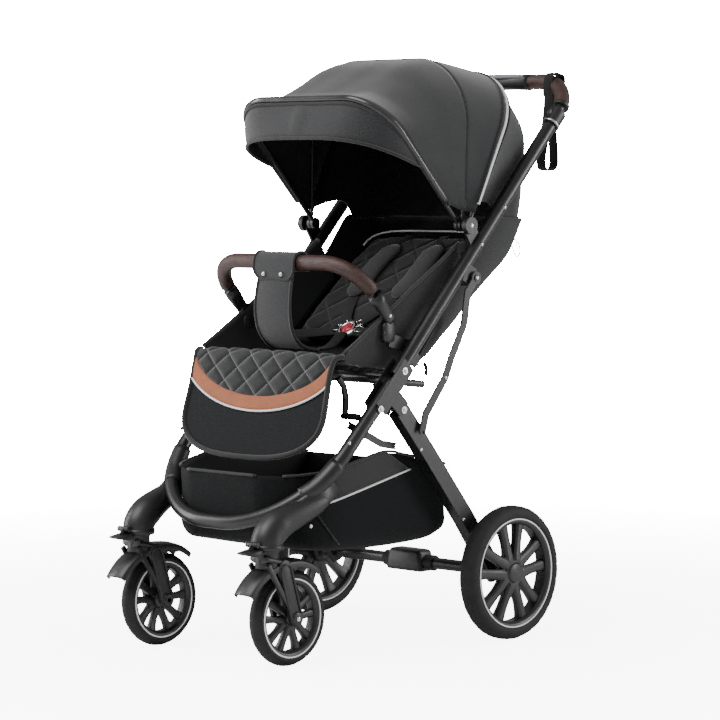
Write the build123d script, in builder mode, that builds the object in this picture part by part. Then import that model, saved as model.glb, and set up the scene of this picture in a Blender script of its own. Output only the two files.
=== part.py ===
"""Folding baby stroller with a reclining seat, made as separate pieces.

Millimetres. +X is the child's left, -Y is forward, +Z is up, and the origin is on the floor
in the middle of the overall box. Left and right pieces mirror across the plane x = 0.

Side-to-side layers of the folding frame, by distance from the middle plane, let everything
pass when it folds: seat up to 166, side wings 169 to 172, side brackets and bumper ends
174 to 190, hub plates 190.5 and 221.7 outside the tubes (193 to 219), links 222 to 226,
rear wheels from 230.
"""

import os
from math import atan2, cos, degrees, radians, sin, tan

from build123d import *

os.makedirs("parts", exist_ok=True)

# ---------------------------------------------------------------- driving dimensions
# Folding hubs: pivots as (y, z) points
HUB_TOP = (-78, 511)            # push bar pivot
HUB_FRONT = (-141, 445.5)       # front loop rivet
HUB_REAR = (-80, 441)           # rear leg pivot
PUSH_ANGLE = 46.8               # slope of the push bar above the horizontal

TUBE_X = 206                    # middle plane of the side tubes
TUBE_R = 13
TUBE_WALL = 1.6
INNER_TUBE_R = 10.2             # telescoping handle tube
OUTER_TUBE_TOP = 610            # length of the lower push tube from its pivot
HANDLE_TOP = 729.5              # handle bar from the pivot
PLATE_IN = (190.5, 192.3)       # inner hub plate
PLATE_OUT = (219.6, 221.7)      # outer hub plate
LINK_X = (222.2, 225.7)         # long fold links
RIVET_R = 4
RIVET_HEAD_R = 6.5

# Wheels
REAR_AXLE = (176, 125)
REAR_WHEEL_R = 125
REAR_WHEEL_X = 250
REAR_TYRE_WIDTH = 40
FRONT_AXLE = (-324, 86)
FRONT_WHEEL_R = 86
FRONT_WHEEL_X = 167.5
FRONT_TYRE_WIDTH = 31
SWIVEL_Y = -373

# Fold links
LINK_TOP = (110, 674)           # long link pivot under the push tube
LINK_FOOT = (-36, 397)          # long link pivot on the rear leg
STAY_FRONT = (-193, 420)
STAY_MIDDLE = (-106, 380)
STAY_REAR = (-63, 372)

# Seat
RECLINE_PIVOT = (-9, 520)
RECLINE_ANGLE = 39.5
BACK_LENGTH = 345
SEAT_HALF_WIDTH = 166
SEAT_SLOPE = -6.7               # the seat falls towards the back
SEAT_FRONT = (-205, 518)
SEAT_LENGTH = 196

# Bumper bar
BUMPER_PIVOT = (-86.5, 609.6)
BUMPER_ANGLE = 132.2
BUMPER_REACH = 129
BUMPER_R = 14

# Canopy: hoops turn about one pivot; angles above the horizontal towards the back
CANOPY_PIVOT = (104, 770)
FRONT_BOW_ANGLE = 133
MID_BOW_ANGLE = 89
REAR_BOW_ANGLE = 64
BOW_R = 4.5
FABRIC = 3

# Footrest
FOOT_HINGE = (-202.3, 506.6)    # the front tube of the seat frame
FOOT_HALF_WIDTH = 165


# ---------------------------------------------------------------- helpers
def along(start, angle, distance):
    """The (y, z) point at a distance from a (y, z) point, at an angle above +Y."""
    return (
        start[0] + distance * cos(radians(angle)),
        start[1] + distance * sin(radians(angle)),
    )


def fan(point, angle):
    """The plane through a pivot that holds the X axis and leans at an angle above +Y."""
    lean = radians(angle)
    return Plane(
        origin=(0, point[0], point[1]), x_dir=(1, 0, 0), z_dir=(0, -sin(lean), cos(lean))
    )


def tube(path, radius, wall=0, mode=Mode.ADD):
    """Sweep a round tube along a path into the open part."""
    with BuildSketch(Plane(path @ 0, z_dir=path % 0)) as section:
        Circle(radius)
        if wall:
            Circle(radius - wall, mode=Mode.SUBTRACT)
    sweep(section.sketch, path=path, mode=mode)


def cross_pin(point, x_from, x_to, radius, mode=Mode.ADD):
    """A cylinder along X between two x values at a (y, z) point."""
    middle = (x_from + x_to) / 2
    with Locations(Location((middle, point[0], point[1]), (0, 90, 0))):
        Cylinder(radius, abs(x_to - x_from), mode=mode)


def flat_bar(points, width, x_from, x_to, bend=0, mode=Mode.ADD):
    """A round-ended flat bar through (y, z) points, between two x values."""
    with BuildSketch(Plane.YZ.offset(x_from)) as outline:
        with BuildLine():
            if bend:
                FilletPolyline(*points, radius=bend)
            else:
                Polyline(*points)
        trace(line_width=width)
    extrude(outline.sketch, amount=x_to - x_from, dir=(1, 0, 0), mode=mode)


def side_box(lower, upper, mode=Mode.ADD):
    """A box between two opposite corners."""
    size = [high - low for low, high in zip(lower, upper)]
    centre = [(high + low) / 2 for low, high in zip(lower, upper)]
    with Locations(tuple(centre)):
        Box(*size, mode=mode)


def slab(plane, half_width, start, end, low, high, corner=0, mode=Mode.ADD):
    """A rounded slab on a leaning plane: start and end along it, low and high across it."""
    with BuildSketch(plane.offset(low)) as outline:
        with Locations((0, (start + end) / 2)):
            if corner:
                RectangleRounded(2 * half_width, end - start, corner)
            else:
                Rectangle(2 * half_width, end - start)
    extrude(outline.sketch, amount=high - low, mode=mode)


def hoop(half_width, reach, corner, foot):
    """The outline of a round-shouldered arch that stands on two feet."""
    return FilletPolyline(
        (half_width, foot), (half_width, reach), (-half_width, reach), (-half_width, foot),
        radius=corner,
    )


def fabric_rib(plane, half_width, reach, corner, foot):
    """One arched section of a fabric panel, for lofting."""
    inner = half_width - FABRIC
    with BuildSketch(plane) as rib:
        with BuildLine():
            hoop(half_width, reach, corner, foot)
            Line((-half_width, foot), (-inner, foot))
            hoop(inner, reach - FABRIC, corner - FABRIC, foot)
            Line((inner, foot), (half_width, foot))
        make_face()
    return rib.sketch.faces()[0]


def loop_path():
    """The centre line of the front loop, from hub to hub."""
    plane = Plane(origin=(0, *HUB_FRONT), x_dir=(1, 0, 0), z_dir=(0, 1, -1))
    with BuildLine(plane) as line:
        FilletPolyline((TUBE_X, -58), (TUBE_X, 285), (-TUBE_X, 285), (-TUBE_X, -58), radius=188)
    return line.wires()[0]


PUSH_PLANE = fan(HUB_TOP, PUSH_ANGLE)
BACK_PLANE = fan(RECLINE_PIVOT, RECLINE_ANGLE)
SEAT_PLANE = fan(SEAT_FRONT, SEAT_SLOPE)
SIDES = (("left", 1), ("right", -1))

# ---------------------------------------------------------------- front loop
with BuildPart() as front_loop:
    tube(loop_path(), TUBE_R, TUBE_WALL)
    cross_pin(HUB_FRONT, -TUBE_X - 20, TUBE_X + 20, 7, mode=Mode.SUBTRACT)
front_loop.part.label = "front_loop"
export_step(front_loop.part, "parts/front_loop.step")

# ---------------------------------------------------------------- hub brackets
hub_sleeve_top = along(HUB_TOP, PUSH_ANGLE, 16)
hub_waist = along(HUB_TOP, PUSH_ANGLE + 180, 52)
for side, sign in SIDES:
    with BuildPart() as hub_bracket:
        for x_from, x_to in (PLATE_IN, PLATE_OUT):
            flat_bar((hub_sleeve_top, HUB_FRONT), 33, sign * x_from, sign * x_to)
            flat_bar((hub_waist, HUB_REAR), 32, sign * x_from, sign * x_to)
        for pivot in (HUB_TOP, HUB_REAR):
            cross_pin(pivot, sign * 188, sign * 224, RIVET_R, mode=Mode.SUBTRACT)
        cross_pin(HUB_FRONT, sign * PLATE_IN[0], sign * PLATE_OUT[1], 6.8)
    hub_bracket.part.label = "hub_bracket_" + side
    export_step(hub_bracket.part, "parts/hub_bracket_" + side + ".step")

# ---------------------------------------------------------------- frame rivets
with BuildPart() as frame_rivets:
    for pivot in (HUB_TOP, HUB_REAR):
        cross_pin(pivot, PLATE_IN[0], PLATE_OUT[1], RIVET_R)
    for pivot in (HUB_TOP, HUB_REAR, HUB_FRONT):
        cross_pin(pivot, PLATE_OUT[1], PLATE_OUT[1] + 0.3, RIVET_HEAD_R)
    mirror(about=Plane.YZ)
frame_rivets.part.label = "frame_rivets"
export_step(frame_rivets.part, "parts/frame_rivets.step")

# ---------------------------------------------------------------- caster arms and housings
ARM_TOP, ARM_LOW = 274, 232
HOUSING_R = 28
for side, sign in SIDES:
    with BuildPart() as caster_arm:
        with Locations((sign * FRONT_WHEEL_X, SWIVEL_Y, 237)):
            Cylinder(HOUSING_R, 48)
        with Locations((sign * FRONT_WHEEL_X, SWIVEL_Y, 255)):
            Sphere(HOUSING_R)
        with BuildSketch(Plane.XY.offset(ARM_LOW + 8)) as web:
            with BuildLine():
                Polyline(
                    (sign * FRONT_WHEEL_X, SWIVEL_Y), (sign * 176, -318), (sign * 182, -288)
                )
            trace(line_width=36)
        extrude(web.sketch, amount=ARM_TOP - ARM_LOW)
        with Locations((sign * 181, -287, 295)):
            Box(34, 44, 42)
        tube(loop_path(), TUBE_R + 0.2, mode=Mode.SUBTRACT)
        with Locations((sign * FRONT_WHEEL_X, SWIVEL_Y, 226)):
            Cylinder(8.2, 30, mode=Mode.SUBTRACT)
    caster_arm.part.label = "caster_arm_" + side
    export_step(caster_arm.part, "parts/caster_arm_" + side + ".step")

# ---------------------------------------------------------------- caster forks
FORK_GAP = 17.5                 # half the room for the wheel
FORK_PLATE = 5
for side, sign in SIDES:
    with BuildPart() as caster_fork:
        with Locations((sign * FRONT_WHEEL_X, SWIVEL_Y, 225)):
            Cylinder(8, 26)
        with Locations((sign * FRONT_WHEEL_X, SWIVEL_Y, 196)):
            Cylinder(25, 32)
        with BuildSketch(Plane.YZ.offset(sign * FRONT_WHEEL_X - FORK_GAP - FORK_PLATE)) as guard:
            with Locations(FRONT_AXLE):
                Circle(101)
                Circle(91, mode=Mode.SUBTRACT)
            with Locations((FRONT_AXLE[0] + 40, FRONT_AXLE[1] - 72)):
                Rectangle(330, 210, mode=Mode.SUBTRACT)
        extrude(guard.sketch, amount=2 * (FORK_GAP + FORK_PLATE), dir=(1, 0, 0))
        for offset in (-FORK_GAP - FORK_PLATE, FORK_GAP):
            start = sign * FRONT_WHEEL_X + offset
            flat_bar(((SWIVEL_Y + 8, 184), FRONT_AXLE), 30, start, start + FORK_PLATE)
        cross_pin(
            FRONT_AXLE, sign * FRONT_WHEEL_X - FORK_GAP, sign * FRONT_WHEEL_X + FORK_GAP, 5
        )
    caster_fork.part.label = "caster_fork_" + side
    export_step(caster_fork.part, "parts/caster_fork_" + side + ".step")

# ---------------------------------------------------------------- swivel locks
LOCK_PIVOT = (SWIVEL_Y - HOUSING_R - 7, 222)
for side, sign in SIDES:
    with BuildPart() as swivel_lock:
        cross_pin(
            LOCK_PIVOT, sign * FRONT_WHEEL_X - 14, sign * FRONT_WHEEL_X + 14, 5.5
        )
        side_box(
            (sign * FRONT_WHEEL_X - 14, -436, 216), (sign * FRONT_WHEEL_X + 14, -408, 222)
        )
        fillet(swivel_lock.edges().filter_by(Axis.Z).sort_by(Axis.Y)[:2], 5)
    swivel_lock.part.label = "swivel_lock_" + side
    export_step(swivel_lock.part, "parts/swivel_lock_" + side + ".step")


# ---------------------------------------------------------------- wheels
def wheel_tyre(centre, radius, inner, width, crown):
    """A tyre of round-shouldered section, turned about its axle."""
    with BuildSketch(Plane(origin=centre, x_dir=(1, 0, 0), z_dir=(0, -1, 0))) as section:
        with Locations((0, (radius + inner) / 2)):
            RectangleRounded(width, radius - inner, crown)
    revolve(section.sketch, axis=Axis(centre, (1, 0, 0)))


def wheel_rim(centre, outer, width, hub_r, hub_width, bore, spoke_width):
    """A five-spoke rim with paired spokes, a hub and a domed cap outside."""
    middle = Plane(origin=centre, x_dir=(0, 1, 0), z_dir=(1, 0, 0))
    for ring_out, ring_in, thick in ((outer, outer - 9, width), (hub_r, bore, hub_width)):
        with BuildSketch(middle.offset(-thick / 2)) as ring:
            Circle(ring_out)
            Circle(ring_in, mode=Mode.SUBTRACT)
        extrude(ring.sketch, amount=thick)
    with BuildSketch(middle.offset(-spoke_width / 2)) as spokes:
        with PolarLocations(0, 5):
            for twin in (-1, 1):
                with Locations(((hub_r + outer - 7) / 2, twin * hub_r * 0.42)):
                    Rectangle(outer - 5 - hub_r, hub_r * 0.36, rotation=twin * 5)
    extrude(spokes.sketch, amount=spoke_width)


REAR_RIM_R = 101
FRONT_RIM_R = 69
for side, sign in SIDES:
    rear_centre = (sign * REAR_WHEEL_X, *REAR_AXLE)
    with BuildPart() as rear_tyre:
        wheel_tyre(rear_centre, REAR_WHEEL_R, REAR_RIM_R, REAR_TYRE_WIDTH, 9)
    rear_tyre.part.label = "rear_tyre_" + side
    export_step(rear_tyre.part, "parts/rear_tyre_" + side + ".step")

    with BuildPart() as rear_rim:
        wheel_rim(rear_centre, REAR_RIM_R, 30, 24, 36, 6.05, 16)
        cross_pin(REAR_AXLE, sign * (REAR_WHEEL_X + 18), sign * (REAR_WHEEL_X + 20), 20)
    rear_rim.part.label = "rear_rim_" + side
    export_step(rear_rim.part, "parts/rear_rim_" + side + ".step")

    front_centre = (sign * FRONT_WHEEL_X, *FRONT_AXLE)
    with BuildPart() as front_tyre:
        wheel_tyre(front_centre, FRONT_WHEEL_R, FRONT_RIM_R, FRONT_TYRE_WIDTH, 7)
    front_tyre.part.label = "front_tyre_" + side
    export_step(front_tyre.part, "parts/front_tyre_" + side + ".step")

    with BuildPart() as front_rim:
        wheel_rim(front_centre, FRONT_RIM_R, 24, 17, 32, 5.05, 13)
    front_rim.part.label = "front_rim_" + side
    export_step(front_rim.part, "parts/front_rim_" + side + ".step")

# ---------------------------------------------------------------- rear legs, axle and brake
LEG_X = (194, 218)
LEG_WIDTH = 32
LEG_WALL = 2
LEG_LINE = (HUB_REAR, (-13, 363), (99, 228), REAR_AXLE)
for side, sign in SIDES:
    with BuildPart() as rear_leg:
        flat_bar(LEG_LINE, LEG_WIDTH, sign * LEG_X[0], sign * LEG_X[1])
        flat_bar(
            LEG_LINE, LEG_WIDTH - 2 * LEG_WALL,
            sign * (LEG_X[0] + LEG_WALL), sign * (LEG_X[1] - LEG_WALL), mode=Mode.SUBTRACT,
        )
        cross_pin(HUB_REAR, sign * 190, sign * 222, RIVET_R + 0.1, mode=Mode.SUBTRACT)
        cross_pin(REAR_AXLE, sign * 190, sign * 222, 11, mode=Mode.SUBTRACT)
    rear_leg.part.label = "rear_leg_" + side
    export_step(rear_leg.part, "parts/rear_leg_" + side + ".step")

AXLE_TUBE_X = 222
with BuildPart() as rear_axle:
    cross_pin(REAR_AXLE, -AXLE_TUBE_X, AXLE_TUBE_X, 11)
    cross_pin(REAR_AXLE, -REAR_WHEEL_X - 17, REAR_WHEEL_X + 17, 6)
rear_axle.part.label = "rear_axle"
export_step(rear_axle.part, "parts/rear_axle.step")

PEDAL_PIVOT = (203, 121)
with BuildPart() as brake_housing:
    side_box((-48, 152, 106), (48, 194, 150))
    fillet(brake_housing.edges().filter_by(Axis.X), 9)
    cross_pin(REAR_AXLE, -60, 60, 11, mode=Mode.SUBTRACT)
    for end in (-1, 1):
        side_box((end * 42 - 4, 190, 112), (end * 42 + 4, 210, 130))
    cross_pin(PEDAL_PIVOT, -50, 50, 3.1, mode=Mode.SUBTRACT)
brake_housing.part.label = "brake_housing"
export_step(brake_housing.part, "parts/brake_housing.step")

with BuildPart() as brake_pedal:
    cross_pin(PEDAL_PIVOT, -46, 46, 3)
    cross_pin(PEDAL_PIVOT, -37, 37, 7)
    side_box((-36, 205, 114), (36, 250, 121))
    fillet(brake_pedal.edges().filter_by(Axis.Z).sort_by(Axis.Y)[-2:], 9)
brake_pedal.part.label = "brake_pedal"
export_step(brake_pedal.part, "parts/brake_pedal.step")

# ---------------------------------------------------------------- push bar tubes
for side, sign in SIDES:
    with BuildPart() as upper_tube:
        with BuildLine(PUSH_PLANE) as run:
            Line((sign * TUBE_X, -14), (sign * TUBE_X, OUTER_TUBE_TOP))
        tube(run.wires()[0], TUBE_R, 2.3)
        cross_pin(HUB_TOP, sign * 188, sign * 224, RIVET_R + 0.1, mode=Mode.SUBTRACT)
    upper_tube.part.label = "upper_tube_" + side
    export_step(upper_tube.part, "parts/upper_tube_" + side + ".step")

with BuildPart() as collars:
    with BuildSketch(PUSH_PLANE.rotated((90, 0, 0)).offset(-OUTER_TUBE_TOP - 34)):
        with Locations((TUBE_X, 0), (-TUBE_X, 0)):
            Circle(16.5)
            Circle(INNER_TUBE_R + 0.3, mode=Mode.SUBTRACT)
    extrude(amount=34)
collars.part.label = "collars"
export_step(collars.part, "parts/collars.step")

# ---------------------------------------------------------------- brackets on the push bar
BRACKET_TUBE_POINT = along(HUB_TOP, PUSH_ANGLE, 58)
SOCKET_FOOT = (-84, 566)
with BuildPart() as side_brackets:
    flat_bar((SOCKET_FOOT, BRACKET_TUBE_POINT, RECLINE_PIVOT), 24, 186.2, 190)
    flat_bar((SOCKET_FOOT, (-85.5, 584)), 28, 174, 190)
    flat_bar(((-83.1, 545), (-87.05, 620)), 21, 177.7, 185.3, mode=Mode.SUBTRACT)
    cross_pin(RECLINE_PIVOT, 186.2, 152, 5)
    cross_pin(BRACKET_TUBE_POINT, 190, 192.9, 7)
    mirror(about=Plane.YZ)
side_brackets.part.label = "side_brackets"
export_step(side_brackets.part, "parts/side_brackets.step")

LINK_TUBE_POINT = along(HUB_TOP, PUSH_ANGLE, 240)
with BuildPart() as link_brackets:
    flat_bar((LINK_TUBE_POINT, LINK_TOP), 34, 195, 219.2)
    with BuildLine(PUSH_PLANE) as run:
        Line((TUBE_X, 180), (TUBE_X, 320))
    tube(run.wires()[0], TUBE_R + 0.05, mode=Mode.SUBTRACT)
    split(bisect_by=PUSH_PLANE, keep=Keep.BOTTOM)
    cross_pin(LINK_TOP, 219.2, 227.5, RIVET_R)
    cross_pin(LINK_TOP, 226.1, 227.5, RIVET_HEAD_R)
    mirror(about=Plane.YZ)
link_brackets.part.label = "link_brackets"
export_step(link_brackets.part, "parts/link_brackets.step")

MOUNT_TUBE_POINT = along(HUB_TOP, PUSH_ANGLE, 306)
with BuildPart() as canopy_mounts:
    flat_bar((MOUNT_TUBE_POINT, along(CANOPY_PIVOT, -20, 6)), 30, 203, 208)
    with BuildLine(PUSH_PLANE) as run:
        Line((TUBE_X, 240), (TUBE_X, 380))
    tube(run.wires()[0], TUBE_R + 0.05, mode=Mode.SUBTRACT)
    split(bisect_by=PUSH_PLANE, keep=Keep.TOP)
    cross_pin(CANOPY_PIVOT, 208, 219, 16)
    cross_pin(CANOPY_PIVOT, 181, 203, RIVET_R)
    mirror(about=Plane.YZ)
canopy_mounts.part.label = "canopy_mounts"
export_step(canopy_mounts.part, "parts/canopy_mounts.step")

# ---------------------------------------------------------------- telescoping handle
with BuildPart() as handle_tube:
    with BuildLine(PUSH_PLANE) as run:
        FilletPolyline(
            (TUBE_X, 430), (TUBE_X, HANDLE_TOP), (-TUBE_X, HANDLE_TOP), (-TUBE_X, 430),
            radius=92,
        )
    tube(run.wires()[0], INNER_TUBE_R, 1.5)
handle_tube.part.label = "handle_tube"
export_step(handle_tube.part, "parts/handle_tube.step")

GRIP_FOOT = 664
CONSOLE_HALF = 86
with BuildPart() as handle_grip:
    with BuildLine(PUSH_PLANE) as run:
        corner_centre = (TUBE_X - 92, HANDLE_TOP - 92)
        turn_from = degrees(atan2(GRIP_FOOT - corner_centre[1], 92))
        turn = CenterArc(corner_centre, 92, turn_from, 90 - turn_from)
        Line(turn @ 1, (CONSOLE_HALF, HANDLE_TOP))
    grip_run = run.wires()[0]
    with BuildSketch(Plane(grip_run @ 0, z_dir=grip_run % 0)):
        Circle(15)
        Circle(INNER_TUBE_R, mode=Mode.SUBTRACT)
    sweep(path=grip_run)
    mirror(about=Plane.YZ)
handle_grip.part.label = "handle_grip"
export_step(handle_grip.part, "parts/handle_grip.step")

handle_bar_point = along(HUB_TOP, PUSH_ANGLE, HANDLE_TOP)
with BuildPart() as console:
    side_box(
        (-CONSOLE_HALF, handle_bar_point[0] - 34, handle_bar_point[1] - 15),
        (CONSOLE_HALF, handle_bar_point[0] + 15, handle_bar_point[1] + 16),
    )
    fillet(console.edges().filter_by(Axis.X), 9)
    cross_pin(handle_bar_point, -120, 120, INNER_TUBE_R, mode=Mode.SUBTRACT)
    side_box(
        (-16.3, handle_bar_point[0] - 40, handle_bar_point[1] - 8.3),
        (16.3, handle_bar_point[0] - 18, handle_bar_point[1] + 8.3),
        mode=Mode.SUBTRACT,
    )
console.part.label = "console"
export_step(console.part, "parts/console.step")

with BuildPart() as fold_button:
    side_box(
        (-16, handle_bar_point[0] - 37, handle_bar_point[1] - 8),
        (16, handle_bar_point[0] - 24, handle_bar_point[1] + 8),
    )
fold_button.part.label = "fold_button"
export_step(fold_button.part, "parts/fold_button.step")

# ---------------------------------------------------------------- canopy bows
BOWS = {
    # name: half width, reach, shoulder radius, angle
    "rear_bow": (208.5, 306, 110, REAR_BOW_ANGLE),
    "mid_bow": (196, 300, 118, MID_BOW_ANGLE),
    "front_bow": (187, 312, 85, FRONT_BOW_ANGLE),
}
with BuildPart() as rear_bow:
    half_width, reach, corner, angle = BOWS["rear_bow"]
    with BuildLine(fan(CANOPY_PIVOT, angle)) as run:
        hoop(half_width, reach, corner, 17)
    tube(run.wires()[0], BOW_R)
rear_bow.part.label = "rear_bow"
export_step(rear_bow.part, "parts/rear_bow.step")

with BuildPart() as mid_bow:
    half_width, reach, corner, angle = BOWS["mid_bow"]
    with BuildLine(fan(CANOPY_PIVOT, angle)) as run:
        hoop(half_width, reach, corner, 9)
    tube(run.wires()[0], BOW_R - 1.2)
    for sign in (-1, 1):
        cross_pin(CANOPY_PIVOT, sign * 193, sign * 199, 11)
        cross_pin(CANOPY_PIVOT, sign * 190, sign * 202, RIVET_R + 0.1, mode=Mode.SUBTRACT)
mid_bow.part.label = "mid_bow"
export_step(mid_bow.part, "parts/mid_bow.step")

with BuildPart() as front_bow:
    half_width, reach, corner, angle = BOWS["front_bow"]
    with BuildLine(fan(CANOPY_PIVOT, angle)) as run:
        hoop(half_width, reach, corner, 9)
    tube(run.wires()[0], BOW_R)
    for sign in (-1, 1):
        cross_pin(CANOPY_PIVOT, sign * 183.5, sign * 190.5, 11)
        cross_pin(CANOPY_PIVOT, sign * 180, sign * 192, RIVET_R + 0.1, mode=Mode.SUBTRACT)
front_bow.part.label = "front_bow"
export_step(front_bow.part, "parts/front_bow.step")

# ---------------------------------------------------------------- canopy fabric
with BuildPart() as canopy_front:
    ribs = [
        fabric_rib(fan(CANOPY_PIVOT, FRONT_BOW_ANGLE - 1), 195, 320, 92, 50),
        fabric_rib(fan(CANOPY_PIVOT, MID_BOW_ANGLE + 0.7), 203, 307, 124, 50),
    ]
    loft(ribs, ruled=True)
canopy_front.part.label = "canopy_front"
export_step(canopy_front.part, "parts/canopy_front.step")

with BuildPart() as visor:
    ribs = [
        fabric_rib(fan(CANOPY_PIVOT, FRONT_BOW_ANGLE + 0.7), 195, 320, 92, 105),
        fabric_rib(fan(CANOPY_PIVOT, FRONT_BOW_ANGLE + 14), 188, 290, 84, 170),
    ]
    loft(ribs, ruled=True)
visor.part.label = "visor"
export_step(visor.part, "parts/visor.step")

with BuildPart() as canopy_middle:
    ribs = [
        fabric_rib(fan(CANOPY_PIVOT, MID_BOW_ANGLE - 0.7), 203, 307, 124, 50),
        fabric_rib(fan(CANOPY_PIVOT, REAR_BOW_ANGLE + 0.7), 216.5, 314, 118, 50),
    ]
    loft(ribs, ruled=True)
canopy_middle.part.label = "canopy_middle"
export_step(canopy_middle.part, "parts/canopy_middle.step")

with BuildPart() as canopy_rear:
    ribs = [
        fabric_rib(fan(CANOPY_PIVOT, REAR_BOW_ANGLE - 1.4), 216.5, 314, 118, 62),
        fabric_rib(fan(CANOPY_PIVOT, 42), 189, 287, 70, 78),
        fabric_rib(fan(CANOPY_PIVOT, 25), 187, 229, 50, 95),
        fabric_rib(fan(CANOPY_PIVOT, 4), 185, 192, 40, 110),
    ]
    loft(ribs, ruled=True)
canopy_rear.part.label = "canopy_rear"
export_step(canopy_rear.part, "parts/canopy_rear.step")

# ---------------------------------------------------------------- fold links
with BuildPart() as fold_links:
    flat_bar(
        (LINK_TOP, (87, 648), (77, 590), (41, 527), (26, 494), (-26, 431), LINK_FOOT),
        16, *LINK_X,
    )
    cross_pin(LINK_TOP, *LINK_X, 12)
    cross_pin(LINK_TOP, 220, 228, RIVET_R + 0.1, mode=Mode.SUBTRACT)
    cross_pin(LINK_FOOT, 220, 228, RIVET_R + 0.1, mode=Mode.SUBTRACT)
    mirror(about=Plane.YZ)
fold_links.part.label = "fold_links"
export_step(fold_links.part, "parts/fold_links.step")

with BuildPart() as front_stays:
    flat_bar((STAY_FRONT, STAY_MIDDLE), 13, 187.4, 190)
    cross_pin(STAY_FRONT, 185, 192, RIVET_R + 0.1, mode=Mode.SUBTRACT)
    mirror(about=Plane.YZ)
front_stays.part.label = "front_stays"
export_step(front_stays.part, "parts/front_stays.step")

with BuildPart() as rear_stays:
    flat_bar((STAY_MIDDLE, STAY_REAR), 13, 184.2, 186.9)
    cross_pin(STAY_REAR, 183, 188, RIVET_R + 0.1, mode=Mode.SUBTRACT)
    mirror(about=Plane.YZ)
rear_stays.part.label = "rear_stays"
export_step(rear_stays.part, "parts/rear_stays.step")

# ---------------------------------------------------------------- bumper bar
BUMPER_PLANE = fan(BUMPER_PIVOT, BUMPER_ANGLE)
with BuildPart() as bumper_ends:
    flat_bar(((-84, 562), BUMPER_PIVOT), 20, 178, 185)
    cross_pin(BUMPER_PIVOT, 178, 185, 12)
    cross_pin(BUMPER_PIVOT, 176, 187, RIVET_R + 0.3, mode=Mode.SUBTRACT)
    mirror(about=Plane.YZ)
bumper_ends.part.label = "bumper_ends"
export_step(bumper_ends.part, "parts/bumper_ends.step")

with BuildPart() as bumper_bar:
    with BuildLine(BUMPER_PLANE) as run:
        hoop(188, BUMPER_REACH, 78, 17)
    tube(run.wires()[0], BUMPER_R)
    for sign in (-1, 1):
        flat_bar(
            (BUMPER_PIVOT, along(BUMPER_PIVOT, BUMPER_ANGLE, 22)), 22, sign * 185.4, sign * 191
        )
        cross_pin(BUMPER_PIVOT, sign * 178, sign * 185.4, RIVET_R)
        cross_pin(BUMPER_PIVOT, sign * 191, sign * 192.5, RIVET_HEAD_R)
bumper_bar.part.label = "bumper_bar"
export_step(bumper_bar.part, "parts/bumper_bar.step")

# ---------------------------------------------------------------- seat
LUG = (-84, 466)
with BuildPart() as seat_frame:
    with BuildLine(SEAT_PLANE.offset(-11)) as run:
        FilletPolyline((158, 244), (158, 4), (-158, 4), (-158, 244), radius=28)
    tube(run.wires()[0], 7)
    with BuildLine(SEAT_PLANE.offset(-11)) as run:
        Line((158, 206), (-158, 206))
    tube(run.wires()[0], 6)
    for sign in (-1, 1):
        flat_bar((LUG, (-84, 492)), 18, sign * 155, sign * 161)
        cross_pin(LUG, sign * 155, sign * 190.4, 7)
        with BuildLine(Plane.YZ.offset(sign * 162)) as run:
            FilletPolyline((-190, 502), (-176, 487), (-170, 464), (-172, 436), radius=9)
        tube(run.wires()[0], 6)
        cross_pin((-172, 432), sign * 156, sign * 196, 6)
    tube(loop_path(), TUBE_R + 0.2, mode=Mode.SUBTRACT)
seat_frame.part.label = "seat_frame"
export_step(seat_frame.part, "parts/seat_frame.step")

with BuildPart() as seat_board:
    slab(SEAT_PLANE, 148, 22, SEAT_LENGTH, -4, 0, corner=14)
seat_board.part.label = "seat_board"
export_step(seat_board.part, "parts/seat_board.step")

with BuildPart() as seat_pad:
    slab(SEAT_PLANE, SEAT_HALF_WIDTH, 12, SEAT_LENGTH - 8, 0.3, 16, corner=16)
    fillet(seat_pad.faces().sort_by(Axis.Z)[-1].edges(), 6)
seat_pad.part.label = "seat_pad"
export_step(seat_pad.part, "parts/seat_pad.step")

with BuildPart() as side_wings:
    with BuildSketch(Plane.YZ.offset(169)) as outline:
        with BuildLine():
            Polyline(
                (112, 736), (-79, 620), (-192, 549), (-192, 524), (-30, 506),
                (-24, 528), (30, 575), (140, 664), close=True,
            )
        make_face()
    extrude(outline.sketch, amount=FABRIC, dir=(1, 0, 0))
    mirror(about=Plane.YZ)
side_wings.part.label = "side_wings"
export_step(side_wings.part, "parts/side_wings.step")

# ---------------------------------------------------------------- backrest
with BuildPart() as backrest_board:
    slab(BACK_PLANE, 150, 8, BACK_LENGTH - 8, -4, 0, corner=16)
    for sign in (-1, 1):
        cross_pin(RECLINE_PIVOT, sign * 110, sign * 150, 8)
        side_box(
            (sign * 130 - 20, RECLINE_PIVOT[0] + 2, 518), (sign * 130 + 20, 8, 528)
        )
    cross_pin(RECLINE_PIVOT, -160, 160, 5.1, mode=Mode.SUBTRACT)
backrest_board.part.label = "backrest_board"
export_step(backrest_board.part, "parts/backrest_board.step")

with BuildPart() as back_pad:
    slab(BACK_PLANE, SEAT_HALF_WIDTH, 22, BACK_LENGTH, 0.3, 26, corner=20)
    fillet(back_pad.faces().sort_by(Axis((0, 0, 0), BACK_PLANE.z_dir))[-1].edges(), 10)
back_pad.part.label = "back_pad"
export_step(back_pad.part, "parts/back_pad.step")

with BuildPart() as back_shell:
    slab(BACK_PLANE, 182, 20, BACK_LENGTH + 6, -14, -4.3, corner=12)
back_shell.part.label = "back_shell"
export_step(back_shell.part, "parts/back_shell.step")

with BuildPart() as shoulder_straps:
    for sign in (-1, 1):
        with BuildSketch(BACK_PLANE.offset(26.3)) as outline:
            with Locations((sign * 58, 205)):
                RectangleRounded(52, 170, 18)
        extrude(outline.sketch, amount=9)
shoulder_straps.part.label = "shoulder_straps"
export_step(shoulder_straps.part, "parts/shoulder_straps.step")

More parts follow.
